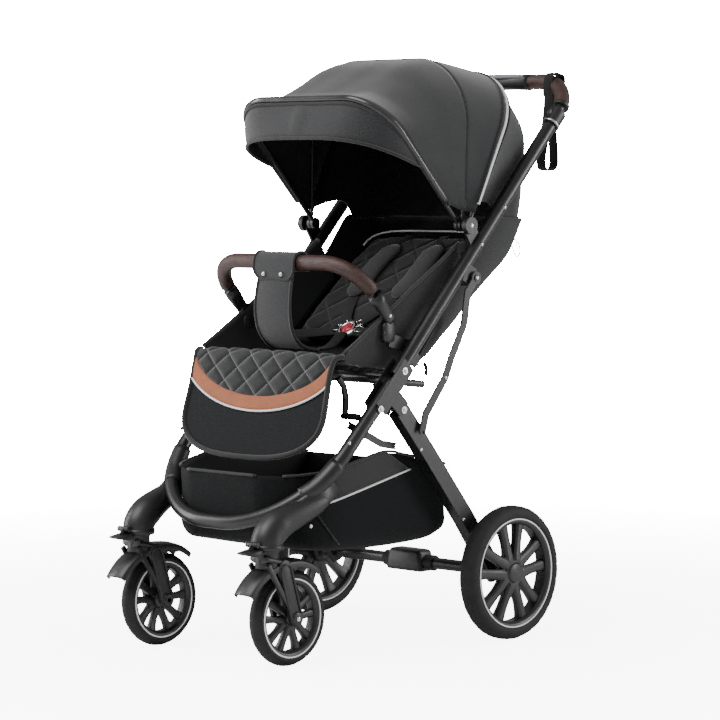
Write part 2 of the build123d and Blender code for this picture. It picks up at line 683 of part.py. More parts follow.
# ---------------------------------------------------------------- harness
# The buckle lies on the back pad; its face looks along the backrest's normal.
BUCKLE_HEIGHT = 44              # up the backrest from the recline pivot
BUCKLE_BASE = 26.6
with BuildPart() as buckle:
    slab(BACK_PLANE, 27, BUCKLE_HEIGHT - 22, BUCKLE_HEIGHT + 22, BUCKLE_BASE,
         BUCKLE_BASE + 11, corner=9)
    with BuildSketch(BACK_PLANE.offset(BUCKLE_BASE + 4)) as well:
        with Locations((0, BUCKLE_HEIGHT)):
            Circle(14.3)
    extrude(well.sketch, amount=20, mode=Mode.SUBTRACT)
buckle.part.label = "buckle"
export_step(buckle.part, "parts/buckle.step")

with BuildPart() as buckle_button:
    with BuildSketch(BACK_PLANE.offset(BUCKLE_BASE + 8)) as disc:
        with Locations((0, BUCKLE_HEIGHT)):
            Circle(14)
    extrude(disc.sketch, amount=6)
buckle_button.part.label = "buckle_button"
export_step(buckle_button.part, "parts/buckle_button.step")

with BuildPart() as crotch_strap:
    flat_bar(((-150, 536), (-60, 548), (-31, 562)), 5, -22, 22)
crotch_strap.part.label = "crotch_strap"
export_step(crotch_strap.part, "parts/crotch_strap.step")

with BuildPart() as bumper_panel:
    side_box((-42, -188, 540), (42, -182, 686))
bumper_panel.part.label = "bumper_panel"
export_step(bumper_panel.part, "parts/bumper_panel.step")

# ---------------------------------------------------------------- footrest
FOOT_TOP = (-217, 508)
with BuildPart() as footrest:
    flat_bar(
        (FOOT_TOP, (-223, 490), (-243, 428), (-266, 373)),
        13, -FOOT_HALF_WIDTH, FOOT_HALF_WIDTH, bend=60,
    )
    for sign in (-1, 1):
        cross_pin(FOOT_HINGE, sign * 60, sign * 90, 12)
        side_box((sign * 75 - 15, -222, 500), (sign * 75 + 15, FOOT_HINGE[0], 513))
    cross_pin(FOOT_HINGE, -100, 100, 7.2, mode=Mode.SUBTRACT)
footrest.part.label = "footrest"
export_step(footrest.part, "parts/footrest.step")

# ---------------------------------------------------------------- basket
BASKET_HALF = 180


def basket_block(inset, roof):
    """The basket's outer or inner block: a side profile cut to the rounded front."""
    with BuildPart() as block:
        with BuildSketch(Plane.YZ.offset(-BASKET_HALF + inset)) as profile:
            with BuildLine():
                Polyline(
                    (-318 + inset, 330), (-300 + inset, 212 + inset), (-240, 196 + inset),
                    (4, 193 + inset), (66 - inset, 199 + inset), (80 - inset, 330),
                    *roof, close=True,
                )
            make_face()
        extrude(profile.sketch, amount=2 * (BASKET_HALF - inset), dir=(1, 0, 0))
        with BuildSketch() as plan:
            with BuildLine():
                half = BASKET_HALF - inset
                right = (
                    (half, 90), (half, -225), (half - 22, -256), (half - 34, -276),
                    (half - 54, -297), (half - 80, -320),
                )
                Polyline(*right, *((-x, y) for x, y in reversed(right)), close=True)
            make_face()
        extrude(plan.sketch, amount=500, mode=Mode.INTERSECT)
    return block.part


basket_outer = basket_block(0, ((-90, 366), (-225, 340)))
basket_inner = basket_block(FABRIC, ((80 - FABRIC, 420), (-318 + FABRIC, 420)))
with BuildPart() as basket:
    add(basket_outer)
    add(basket_inner, mode=Mode.SUBTRACT)
basket.part.label = "basket"
export_step(basket.part, "parts/basket.step")

# ---------------------------------------------------------------- wrist strap
STRAP_X = 150
STRAP_ROUTE = (
    (409, 1018), (401, 988), (389, 952), (379, 916), (378, 888), (390, 876),
    (407, 876), (419, 888), (421, 914), (419, 946), (422, 982), (421, 1018),
)


def cord_radii(points):
    """The largest arc that each corner's two runs allow."""
    radii = []
    for before, corner, after in zip(points, points[1:], points[2:]):
        first = Vector(*corner) - Vector(*before)
        second = Vector(*after) - Vector(*corner)
        half_turn = radians(first.get_angle(second)) / 2
        radii.append(0.45 * min(first.length, second.length) / tan(half_turn))
    return radii


strap_radii = cord_radii(STRAP_ROUTE)
print("wrist strap radii", [round(radius, 1) for radius in strap_radii])
with BuildPart() as wrist_strap:
    with BuildLine(Plane.YZ.offset(STRAP_X)) as run:
        FilletPolyline(*STRAP_ROUTE, radius=strap_radii)
    tube(run.wires()[0], 3)
print("wrist strap length", round(run.wires()[0].length, 1))
wrist_strap.part.label = "wrist_strap"
export_step(wrist_strap.part, "parts/wrist_strap.step")
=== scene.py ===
"""Looks of a folding baby stroller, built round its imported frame.

Shapes are written in millimetres: +X the child's left, -Y forward, +Z up, floor at z = 0.
"""

import math

import bmesh
import bpy
from mathutils import Matrix, Vector


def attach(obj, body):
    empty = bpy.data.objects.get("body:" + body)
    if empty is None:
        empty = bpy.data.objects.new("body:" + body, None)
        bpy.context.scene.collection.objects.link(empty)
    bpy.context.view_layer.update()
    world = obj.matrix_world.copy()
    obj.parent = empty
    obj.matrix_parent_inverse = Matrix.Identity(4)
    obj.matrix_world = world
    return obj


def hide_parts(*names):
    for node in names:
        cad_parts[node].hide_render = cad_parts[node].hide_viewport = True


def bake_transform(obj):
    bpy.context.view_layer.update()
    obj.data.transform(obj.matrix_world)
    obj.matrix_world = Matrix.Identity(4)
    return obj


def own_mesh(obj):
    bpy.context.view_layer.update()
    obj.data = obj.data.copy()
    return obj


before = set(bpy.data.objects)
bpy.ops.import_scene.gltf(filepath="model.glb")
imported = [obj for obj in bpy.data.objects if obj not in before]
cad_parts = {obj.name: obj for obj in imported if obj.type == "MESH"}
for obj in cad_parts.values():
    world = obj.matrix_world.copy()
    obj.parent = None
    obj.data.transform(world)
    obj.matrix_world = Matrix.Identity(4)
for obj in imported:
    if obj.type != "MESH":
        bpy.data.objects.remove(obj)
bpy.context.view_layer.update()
MM = 0.001
SIDES = (("left", 1), ("right", -1))
scene = bpy.context.scene

# ================================================================ camera, floor and light
# A plain pale studio: one camera in front and to the child's left, a white sweep of floor,
# a large soft light overhead and two soft side lights that draw thin edges on the tubes.
camera = bpy.data.objects.new("camera", bpy.data.cameras.new("camera"))
scene.collection.objects.link(camera)
camera.location = (3.8038, -3.9195, 0.8605)
camera.rotation_euler = Vector((-0.6920, 0.7189, -0.0656)).to_track_quat("-Z", "Y").to_euler()
camera.data.sensor_width = 36
camera.data.lens = 146.44
camera.data.shift_x = 0.0015
camera.data.shift_y = 0.0122
scene.camera = camera


def socket(value):
    return isinstance(value, bpy.types.NodeSocket)


def add_node(tree, kind, inputs=None, **settings):
    """A node with its settings, its inputs filled with values or linked from sockets."""
    made = tree.nodes.new(kind)
    for name, value in settings.items():
        setattr(made, name, value)
    for name, value in (inputs or {}).items():
        if socket(value):
            tree.links.new(value, made.inputs[name])
        else:
            made.inputs[name].default_value = value
    return made


def colour(grey, tint=(1, 1, 1)):
    return (*(grey * part for part in tint), 1)


def shader(name, base, roughness, **more):
    """A new material: its tree and its Principled node with plain values set."""
    made = bpy.data.materials.new(name)
    made.use_nodes = True
    tree = made.node_tree
    surface = tree.nodes["Principled BSDF"]
    surface.inputs["Base Color"].default_value = base
    surface.inputs["Roughness"].default_value = roughness
    for key, value in more.items():
        surface.inputs[key.replace("_", " ")].default_value = value
    return made, tree, surface


def noise(tree, vector, scale, detail=2.0, stretch=(1, 1, 1)):
    """Noise in features per metre, stretched along axes."""
    mapped = add_node(
        tree, "ShaderNodeMapping", {"Vector": vector, "Scale": [scale * part for part in stretch]}
    )
    made = add_node(
        tree, "ShaderNodeTexNoise", {"Vector": mapped.outputs[0], "Scale": 1.0, "Detail": detail}
    )
    return made.outputs[0]


def maths(tree, operation, first, second=0.0):
    return add_node(
        tree, "ShaderNodeMath", {0: first, 1: second}, operation=operation
    ).outputs[0]


def ramp(tree, value, low, low_colour, high, high_colour):
    """Two colours, blended while the value goes from low to high."""
    made = add_node(tree, "ShaderNodeValToRGB", {0: value})
    made.color_ramp.elements[0].position = low
    made.color_ramp.elements[0].color = low_colour
    made.color_ramp.elements[1].position = high
    made.color_ramp.elements[1].color = high_colour
    return made.outputs[0]


def bump(tree, surface, height, depth):
    """Relief of a depth in metres."""
    made = add_node(tree, "ShaderNodeBump", {"Height": height, "Distance": depth, "Strength": 1.0})
    tree.links.new(made.outputs[0], surface.inputs["Normal"])


def coordinates(tree, kind):
    return add_node(tree, "ShaderNodeTexCoord").outputs[kind]


def make_piece(name, points, faces, corners=None):
    """A smooth mesh from points in millimetres; corners holds the UVs of each face in metres."""
    mesh = bpy.data.meshes.new(name)
    mesh.from_pydata([Vector(point) * MM for point in points], [], faces)
    if corners:
        layer = mesh.uv_layers.new(name="cloth")
        flat = [uv for face in corners for uv in face]
        for place, uv in zip(layer.data, flat):
            place.uv = uv
    for face in mesh.polygons:
        face.use_smooth = True
    piece = bpy.data.objects.new(name, mesh)
    scene.collection.objects.link(piece)
    return piece


FLOOR_HALF = 9000
sweep_floor, tree, surface = shader("floor_paper", colour(0.93), 0.75)
paper = coordinates(tree, "Object")
tree.links.new(
    ramp(tree, noise(tree, paper, 2.0), 0.2, colour(0.91), 0.8, colour(0.94)),
    surface.inputs["Base Color"],
)
PAPER_GLOW, FAR_GLOW, FAR = 7.0, 60.0, 5.0
surface.inputs["Emission Color"].default_value = (1, 1, 1, 1)
seen = add_node(tree, "ShaderNodeLightPath").outputs["Is Camera Ray"]
away = add_node(tree, "ShaderNodeVectorMath", {0: paper}, operation="LENGTH").outputs["Value"]
fade = maths(tree, "POWER", maths(tree, "DIVIDE", away, FAR), 2.5)
tree.links.new(
    maths(tree, "MULTIPLY", seen,
          maths(tree, "ADD", maths(tree, "MULTIPLY", fade, FAR_GLOW), PAPER_GLOW)),
    surface.inputs["Emission Strength"],
)
floor = make_piece(
    "floor",
    [(-FLOOR_HALF, -FLOOR_HALF, 0), (FLOOR_HALF, -FLOOR_HALF, 0),
     (FLOOR_HALF, FLOOR_HALF, 0), (-FLOOR_HALF, FLOOR_HALF, 0)],
    [(0, 1, 2, 3)],
)
floor.data.materials.append(sweep_floor)

world = bpy.data.worlds.new("studio")
world.use_nodes = True
SEEN_WHITE, AMBIENT = 60.0, 0.42
tree = world.node_tree
seen = add_node(tree, "ShaderNodeLightPath").outputs["Is Camera Ray"]
backdrop = tree.nodes["Background"]
backdrop.inputs["Color"].default_value = (1, 1, 1, 1)
tree.links.new(
    maths(tree, "ADD", maths(tree, "MULTIPLY", seen, SEEN_WHITE - AMBIENT), AMBIENT),
    backdrop.inputs["Strength"],
)
scene.world = world

LIGHTS = (
    # name, place, aimed at, width, height, watts
    ("key_light", (-0.2, -2.2, 2.9), (0, 0, 0.6), 2.2, 2.2, 120),
    ("left_strip", (-2.6, -1.6, 1.2), (0, 0, 0.6), 0.5, 2.2, 55),
    ("right_strip", (2.2, 1.9, 1.4), (0, 0, 0.6), 0.5, 2.2, 55),
)
for name, place, aim, width, height, watts in LIGHTS:
    lamp = bpy.data.lights.new(name, "AREA")
    lamp.shape = "RECTANGLE"
    lamp.size, lamp.size_y, lamp.energy = width, height, watts
    holder = bpy.data.objects.new(name, lamp)
    holder.location = place
    holder.rotation_euler = (Vector(aim) - Vector(place)).to_track_quat("-Z", "Y").to_euler()
    scene.collection.objects.link(holder)


# ================================================================ pull loop behind the seat
# A thin black elastic cord, its two ends sewn into the shell's side seam, hanging as a loop.
# It holds the shell's flap when the seat lies back.
def woven(name, dark, light, thread=0.9, fleck=4.0, sheen=0.25, kind="UV", contrast=0.22):
    """Woven cloth: two crossed sets of flecked threads, thread and fleck sizes in millimetres."""
    made, tree, surface = shader(
        name, dark, 0.85, Sheen_Weight=sheen, Sheen_Roughness=0.5, Specular_IOR_Level=0.25
    )
    place = coordinates(tree, kind)
    fine, long = 1000 / thread, 1000 / fleck
    warp = noise(tree, place, 1.0, 2.0, (long, fine, fine))
    weft = noise(tree, place, 1.0, 2.0, (fine, long, long))
    both = maths(tree, "MULTIPLY", maths(tree, "ADD", warp, weft), 0.5)
    tree.links.new(
        ramp(tree, both, 0.5 - contrast / 2, dark, 0.5 + contrast / 2, light),
        surface.inputs["Base Color"],
    )
    bump(tree, surface, both, 0.0004)
    return made


black_cord = woven("elastic_cord", colour(0.008), colour(0.03), 0.5, 1.5, 0.1, "Object")
LOOP_ROUTE = (
    (182, 267, 742), (184, 274, 736), (185, 279, 726), (185, 278, 714), (184, 272, 708),
    (183, 266, 713), (182, 262, 723), (181, 259, 733),
)


def curve_cord(name, route, radius):
    """A round cord on one smooth curve through its control points."""
    line = bpy.data.curves.new(name, "CURVE")
    line.dimensions = "3D"
    line.bevel_depth = radius * MM
    line.bevel_resolution = 4
    line.use_fill_caps = True
    run = line.splines.new("NURBS")
    run.points.add(len(route) - 1)
    for knot, place in zip(run.points, route):
        knot.co = (*(Vector(place) * MM), 1)
    run.order_u = 3
    run.use_endpoint_u = True
    run.resolution_u = 12
    piece = bpy.data.objects.new(name, line)
    scene.collection.objects.link(piece)
    return piece


pull_loop = curve_cord("shell_pull_loop", LOOP_ROUTE, 1.5)
pull_loop.data.materials.append(black_cord)
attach(pull_loop, "backrest")


# ================================================================ metal frame
# Round steel and aluminium tubes in satin black powder coat, pressed steel hub plates, flat
# folding links and stays, held together by bright steel rivets.
def tube_finish(name, base, roughness):
    made, tree, surface = shader(name, base, roughness, Specular_IOR_Level=0.5)
    place = coordinates(tree, "Object")
    wear = noise(tree, place, 14.0, 4.0)
    tree.links.new(
        ramp(tree, wear, 0.35, colour(base[0] * 0.8), 0.75, colour(base[0] * 1.35)),
        surface.inputs["Base Color"],
    )
    rough = maths(tree, "ADD", maths(tree, "MULTIPLY", wear, 0.16), roughness - 0.08)
    tree.links.new(rough, surface.inputs["Roughness"])
    bump(tree, surface, noise(tree, place, 900.0, 2.0), 0.00006)
    return made


powder_coat = tube_finish("satin_black_coat", colour(0.009), 0.34)
plate_coat = tube_finish("matt_black_plate", colour(0.011), 0.46)

bright_steel, tree, surface = shader("rivet_steel", colour(0.62), 0.22, Metallic=1.0)
place = coordinates(tree, "Object")
tree.links.new(
    ramp(tree, noise(tree, place, 600.0), 0.3, colour(0.16), 0.7, colour(0.4)),
    surface.inputs["Roughness"],
)


def finish_node(name, finish):
    """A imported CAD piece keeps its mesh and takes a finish."""
    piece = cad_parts[name]
    piece.data.materials.clear()
    piece.data.materials.append(finish)


for name in (
    "front_loop", "upper_tube_left", "upper_tube_right", "handle_tube", "rear_axle",
    "rear_bow", "mid_bow", "front_bow", "seat_frame", "rear_leg_left", "rear_leg_right",
):
    finish_node(name, powder_coat)
for name in (
    "hub_bracket_left", "hub_bracket_right", "side_brackets", "link_brackets", "fold_links",
    "front_stays", "rear_stays", "bumper_ends",
):
    finish_node(name, plate_coat)
finish_node("frame_rivets", bright_steel)


def frames_along(path, up=None, closed=False):
    """Position, side and up vectors at each point of a path."""
    count = len(path)
    points = [Vector(point) for point in path]
    tangents = []
    for i in range(count):
        before = points[i - 1] if i or closed else points[0]
        after = points[(i + 1) % count] if i < count - 1 or closed else points[-1]
        tangents.append((after - before).normalized())
    if up is None:
        guess = Vector((0, 0, 1)) if abs(tangents[0].z) < 0.8 else Vector((1, 0, 0))
        side = tangents[0].cross(guess).normalized()
    frames = []
    for i in range(count):
        if up is None:
            side = (side - tangents[i] * side.dot(tangents[i])).normalized()
        else:
            lean = Vector(up[i] if len(up) == count and hasattr(up[0], "__len__") else up)
            side = tangents[i].cross(lean).normalized()
        frames.append((points[i], side, side.cross(tangents[i]).normalized()))
    return frames


def sweep(name, path, profile, up=None, closed=False, sizes=None):
    """A closed profile of (side, up) offsets carried along a path, with its UVs in metres."""
    frames = frames_along(path, up, closed)
    count, sides = len(frames), len(profile)
    points = []
    for i, (place, side, lift) in enumerate(frames):
        size = sizes[i] if sizes else 1
        points += [place + side * (a * size) + lift * (b * size) for a, b in profile]
    around = [0.0]
    for i in range(sides):
        a, b = Vector(profile[i]), Vector(profile[(i + 1) % sides])
        around.append(around[-1] + (b - a).length * MM)
    length = [0.0]
    for i in range(count):
        step = frames[(i + 1) % count][0] - frames[i][0]
        length.append(length[-1] + step.length * MM)
    faces, corners = [], []
    for i in range(count if closed else count - 1):
        j = (i + 1) % count
        for k in range(sides):
            m = (k + 1) % sides
            faces.append((i * sides + k, i * sides + m, j * sides + m, j * sides + k))
            corners.append(
                [(around[k], length[i]), (around[k + 1], length[i]),
                 (around[k + 1], length[i + 1]), (around[k], length[i + 1])]
            )
    if not closed:
        for start, turn in ((0, -1), ((count - 1) * sides, 1)):
            faces.append([start + k for k in range(sides)][::turn])
            corners.append([(profile[k][0] * MM, profile[k][1] * MM) for k in range(sides)][::turn])
    piece = make_piece(name, points, faces, corners)
    outward(piece)
    return piece


def outward(piece):
    """Turn every face of a closed piece outwards."""
    work = bmesh.new()
    work.from_mesh(piece.data)
    bmesh.ops.recalc_face_normals(work, faces=work.faces)
    work.to_mesh(piece.data)
    work.free()


def ellipse(across, high, sides=16):
    """A closed oval profile of two radii."""
    turn = 2 * math.pi / sides
    return [(across * math.cos(i * turn), high * math.sin(i * turn)) for i in range(sides)]


def ribbon(width, thickness):
    """A flat strap's profile with rounded edges."""
    half, low = width / 2, thickness / 2
    return [
        (-half, -low * 0.4), (-half + low, -low), (half - low, -low), (half, -low * 0.4),
        (half, low * 0.4), (half - low, low), (-half + low, low), (-half, low * 0.4),
    ]


def smooth_line(points, steps, closed=False):
    """A Catmull-Rom line through points, with equal steps between them."""
    knots = [Vector(point) for point in points]
    count = len(knots)
    made = []
    for i in range(count if closed else count - 1):
        if closed:
            a, b, c, d = (knots[(i + k) % count] for k in (-1, 0, 1, 2))
        else:
            b, c = knots[i], knots[i + 1]
            a = knots[i - 1] if i else b + (b - c)
            d = knots[i + 2] if i < count - 2 else c + (c - b)
        for k in range(steps):
            t = k / steps
            made.append(
                0.5 * (2 * b + (c - a) * t + (2 * a - 5 * b + 4 * c - d) * t ** 2
                       + (3 * b - a - 3 * c + d) * t ** 3)
            )
    if not closed:
        made.append(knots[-1])
    return made


def evenly(points, count):
    """The same line as count points at equal distances."""
    line = [Vector(point) for point in points]
    at = [0.0]
    for a, b in zip(line, line[1:]):
        at.append(at[-1] + (b - a).length)
    made, i = [], 0
    for k in range(count):
        target = at[-1] * k / (count - 1)
        while i < len(line) - 2 and at[i + 1] < target:
            i += 1
        share = (target - at[i]) / max(at[i + 1] - at[i], 1e-9)
        made.append(line[i].lerp(line[i + 1], share))
    return made


def settle(piece):
    """Apply every modifier on a piece."""
    shape = bpy.data.meshes.new_from_object(
        piece.evaluated_get(bpy.context.evaluated_depsgraph_get())
    )
    piece.modifiers.clear()
    piece.data = shape
    return piece


def rounder(piece, width, segments=2, subdivide=0):
    """Round the sharp edges of a piece, then subdivide it."""
    edge = piece.modifiers.new("edge", "BEVEL")
    edge.width = width * MM
    edge.segments = segments
    edge.limit_method = "ANGLE"
    if subdivide:
        piece.modifiers.new("smooth", "SUBSURF").levels = subdivide
    return settle(piece)


def turned(name, profile, centre, axis="X", steps=48):
    """A closed ring or disc turned from (along, radius) points about an axis."""
    rows = []
    for i in range(steps):
        angle = 2 * math.pi * i / steps
        a, b = math.cos(angle), math.sin(angle)
        if axis == "X":
            rows.append([(centre[0] + along, centre[1] + r * a, centre[2] + r * b)
                         for along, r in profile])
        else:
            rows.append([(centre[0] + r * a, centre[1] + r * b, centre[2] + along)
                         for along, r in profile])
    count = len(profile)
    points = [place for row in rows for place in row]
    faces = [
        (i * count + k, i * count + (k + 1) % count,
         (i + 1) % steps * count + (k + 1) % count, (i + 1) % steps * count + k)
        for i in range(steps) for k in range(count)
    ]
    piece = make_piece(name, points, faces)
    work = bmesh.new()
    work.from_mesh(piece.data)
    bmesh.ops.remove_doubles(work, verts=work.verts, dist=1e-6)
    bmesh.ops.dissolve_degenerate(work, edges=work.edges, dist=1e-6)
    bmesh.ops.recalc_face_normals(work, faces=work.faces)
    work.to_mesh(piece.data)
    work.free()
    return piece


def joined(name, pieces):
    """Several meshes as one piece."""
    bpy.ops.object.select_all(action="DESELECT")
    for piece in pieces:
        piece.select_set(True)
    bpy.context.view_layer.objects.active = pieces[0]
    bpy.ops.object.join()
    pieces[0].name = name
    return pieces[0]


def dress(piece, finish, body=None, replaces=()):
    """Finish, material slot, body and the CAD pieces that a piece stands for."""
    piece.data.materials.clear()
    piece.data.materials.append(finish)
    if body:
        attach(piece, body)
    if replaces:
        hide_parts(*replaces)
    return piece


def rivet(name, x, y, z, radius, body):
    """A domed rivet head whose flat back lies at x, facing outwards."""
    out = 1 if x > 0 else -1
    radius *= 0.74
    dome = [(0, 0), (0, radius), (out * 0.8, radius), (out * 1.6, radius * 0.8),
            (out * 2.1, radius * 0.45), (out * 2.2, 0)]
    return dress(turned(name, dome, (x, y, z), steps=20), bright_steel, body)


RIVETS = (
    # name, x, y, z, radius, body
    ("hub_top_rivet", 222, -78, 511, 5.5, "frame"),
    ("hub_front_rivet", 222, -141, 445.5, 5.5, "frame"),
    ("hub_rear_rivet", 222, -80, 441, 5.5, "frame"),
    ("loop_rivet", 218.6, -219, 390, 4.5, "frame"),
    ("lower_loop_rivet", 196, -293, 247, 5, "frame"),
    ("leg_rivet", 218, -32, 366, 4.5, "rear_legs"),
    ("leg_foot_rivet", 218, 84, 229, 4.5, "rear_legs"),
    ("link_top_rivet", 227.6, 110, 674, 5, "push_bar"),
    ("link_middle_rivet", 225.8, 26, 494, 4.5, "fold_links"),
    ("tube_rivet", 218.8, 196, 803, 4.5, "push_bar"),
    ("mount_rivet", 219.2, 104, 770, 6, "push_bar"),
    ("mount_tube_rivet", 218.8, 132, 735, 4.5, "push_bar"),
    ("bumper_rivet", 192.6, -86.5, 609.6, 5, "bumper_bar"),
)
for name, x, y, z, radius, body in RIVETS:
    for side, sign in SIDES:
        rivet(name + "_" + side, sign * x, y, z, radius, body)


# ================================================================ wheels
# Moulded five-spoke rims with twin spokes and a capped hub, closed-cell foam tyres with
# shallow shoulder lugs, and a white ring printed at the edge of each rim.
tyre_foam, tree, surface = shader("tyre_foam", colour(0.010), 0.7, Specular_IOR_Level=0.35)
place = coordinates(tree, "Object")
tree.links.new(
    ramp(tree, noise(tree, place, 60.0, 4.0), 0.3, colour(0.007), 0.75, colour(0.014)),
    surface.inputs["Base Color"],
)
bump(tree, surface, noise(tree, place, 1400.0), 0.00012)


def moulded(name, base, roughness, grain=0.00008):
    """Moulded plastic with a fine spark texture and slight variation in its gloss."""
    made, tree, surface = shader(name, base, roughness)
    place = coordinates(tree, "Object")
    cloud = noise(tree, place, 25.0, 3.0)
    tree.links.new(
        maths(tree, "ADD", maths(tree, "MULTIPLY", cloud, 0.14), roughness - 0.07),
        surface.inputs["Roughness"],
    )
    dark = tuple(part * 0.85 for part in base[:3]) + (1,)
    light = tuple(part * 1.2 for part in base[:3]) + (1,)
    tree.links.new(ramp(tree, cloud, 0.3, dark, 0.7, light), surface.inputs["Base Color"])
    bump(tree, surface, noise(tree, place, 1800.0), grain)
    return made


black_plastic = moulded("black_plastic", colour(0.008), 0.42)
hub_plastic = moulded("satin_hub_plastic", colour(0.011), 0.38)
ring_white = moulded("ring_white", colour(0.78), 0.5, 0.00003)
LUG_COUNT = 26
LUG_DEPTH = 1.3


def tyre(name, centre, radius, inner, width, body, node):
    half = width / 2
    section = [
        (-half + 5, inner), (-half + 1, inner + 3), (-half, inner + 9), (-half + 1.5, radius - 9),
        (-half + 5, radius - 4), (-half + 11, radius - 0.8), (0, radius - 0.1),
        (half - 11, radius - 0.8), (half - 5, radius - 4), (half - 1.5, radius - 9),
        (half, inner + 9), (half - 1, inner + 3), (half - 5, inner),
    ]
    piece = turned(name, section, centre, steps=208)
    hub = Vector(centre) * MM
    for vertex in piece.data.vertices:
        out = vertex.co - hub
        out.x = 0
        height = out.length / MM
        shoulder = max(0.0, min(1.0, (height - inner - 7) / 6)) * (height < radius - 0.5)
        groove = max(0.0, math.cos(math.atan2(out.z, out.y) * LUG_COUNT + vertex.co.x * 90)) ** 10
        vertex.co -= out.normalized() * (LUG_DEPTH * MM * shoulder * groove)
    return dress(piece, tyre_foam, body, (node,))


def rim(name, centre, outer, width, hub_r, out, body, node):
    half = width / 2
    x, y, z = centre
    barrel = turned(
        "barrel",
        [(-half, outer + 0.5), (half, outer + 0.5), (half + 1.4, outer - 1), (half, outer - 6),
         (half - 5, outer - 10), (-half + 5, outer - 10), (-half, outer - 6),
         (-half - 1.4, outer - 1)],
        centre, steps=96,
    )
    hub = turned(
        "hub",
        [(-out * (half + 1), 0), (-out * (half + 1), hub_r - 6), (-out * (half - 3), hub_r),
         (out * (half - 5), hub_r), (out * (half - 2), hub_r - 1), (out * (half - 1.6), hub_r - 4),
         (out * (half - 3), hub_r - 5), (out * (half + 1), hub_r - 7), (out * (half + 2.4), 0)],
        centre, steps=48,
    )
    parts = [barrel, hub]
    reach = outer - 8
    for k in range(5):
        for twin in (-1, 1):
            line = []
            for i in range(9):
                t = i / 8
                far = hub_r - 5 + (reach - hub_r + 5) * t
                aside = twin * (hub_r * 0.42 + (outer * 0.17 - hub_r * 0.1) * t ** 1.4)
                turn = math.radians(72 * k + 18)
                rise = out * (half * 0.32 - half * 0.35 * t ** 2)
                line.append((
                    x + rise,
                    y + far * math.cos(turn) - aside * math.sin(turn),
                    z + far * math.sin(turn) + aside * math.cos(turn),
                ))
            thick, deep = hub_r * 0.4, half * 0.5
            spoke = sweep(
                "spoke", line,
                [(-thick, -deep), (thick, -deep), (thick * 1.1, deep * 0.6), (thick * 0.55, deep),
                 (-thick * 0.55, deep), (-thick * 1.1, deep * 0.6)],
                up=(out, 0, 0), sizes=[1.15 - 0.3 * math.sin(math.pi * i / 8) for i in range(9)],
            )
            parts.append(spoke)
    piece = rounder(joined(name, parts), 0.8, 2)
    return dress(piece, hub_plastic, body, (node,))


WHEELS = (
    # kind, x, y, z, radius, rim radius, tyre width, rim width, hub radius, ring radius
    ("rear", 250, 176, 125, 125, 101, 40, 32, 24, 100.6),
    ("front", 167.5, -324, 86, 86, 69, 31, 25, 17, 69.2),
)
for kind, x, y, z, radius, rim_r, width, rim_width, hub_r, ring_r in WHEELS:
    for side, sign in SIDES:
        centre = (sign * x, y, z)
        body = kind + "_wheel_" + side
        tyre(body + "_tyre", centre, radius, rim_r, width, body, kind + "_tyre_" + side)
        rim(body + "_rim", centre, rim_r, rim_width, hub_r, sign, body, kind + "_rim_" + side)
        rings = []
        for face in (-1, 1):
            flat = face * (rim_width / 2 + 0.9)
            rings.append(turned(
                "ring",
                [(flat, ring_r - 1.5), (flat + face * 1.3, ring_r - 1.3),
                 (flat + face * 1.3, ring_r + 1.2), (flat, ring_r + 1.4)],
                centre, steps=128,
            ))
        dress(joined(body + "_ring", rings), ring_white, body)


# ================================================================ front casters
# Nylon mouldings: a hollow elbow pressed on the front loop, a fork that turns in it with a
# mudguard over the wheel, and a foot lever in front that locks the swivel.
def elbow(side, sign):
    line = smooth_line(
        [(sign * 186, -250, 292), (sign * 182, -274, 281), (sign * 176, -312, 267),
         (sign * 170, -342, 255), (sign * 167.8, -362, 242), (sign * 167.5, -372, 228),
         (sign * 167.5, -373, 212)], 5,
    )
    sizes = [15 + 13.4 * min(1, i / (len(line) * 0.55)) ** 0.8 for i in range(len(line))]
    arm = sweep("arm", line, ellipse(1, 1, 28), sizes=sizes)
    clamp = sweep(
        "clamp",
        smooth_line([(sign * 203, -232, 352), (sign * 195, -252, 331), (sign * 184, -270, 312),
                     (sign * 168, -288, 297)], 4),
        ellipse(17, 16, 24),
    )
    gusset = sweep(
        "gusset", [(sign * 198, -240, 318), (sign * 189, -268, 292), (sign * 180, -312, 266)],
        ellipse(9, 22, 20),
    )
    skirt = turned(
        "skirt", [(-2, 24), (-2, 28.6), (3, 29.6), (8, 29.2), (8, 24)],
        (sign * 167.5, -373, 212), axis="Z", steps=40,
    )
    piece = joined("caster_elbow_" + side, [arm, clamp, gusset, skirt])
    dress(piece, black_plastic, "frame", ("caster_arm_" + side,))


def mudguard_point(x, angle, far):
    turn = math.radians(angle)
    return (x, -324 + far * math.cos(turn), 86 + far * math.sin(turn))


LEG_HALF = 14.5


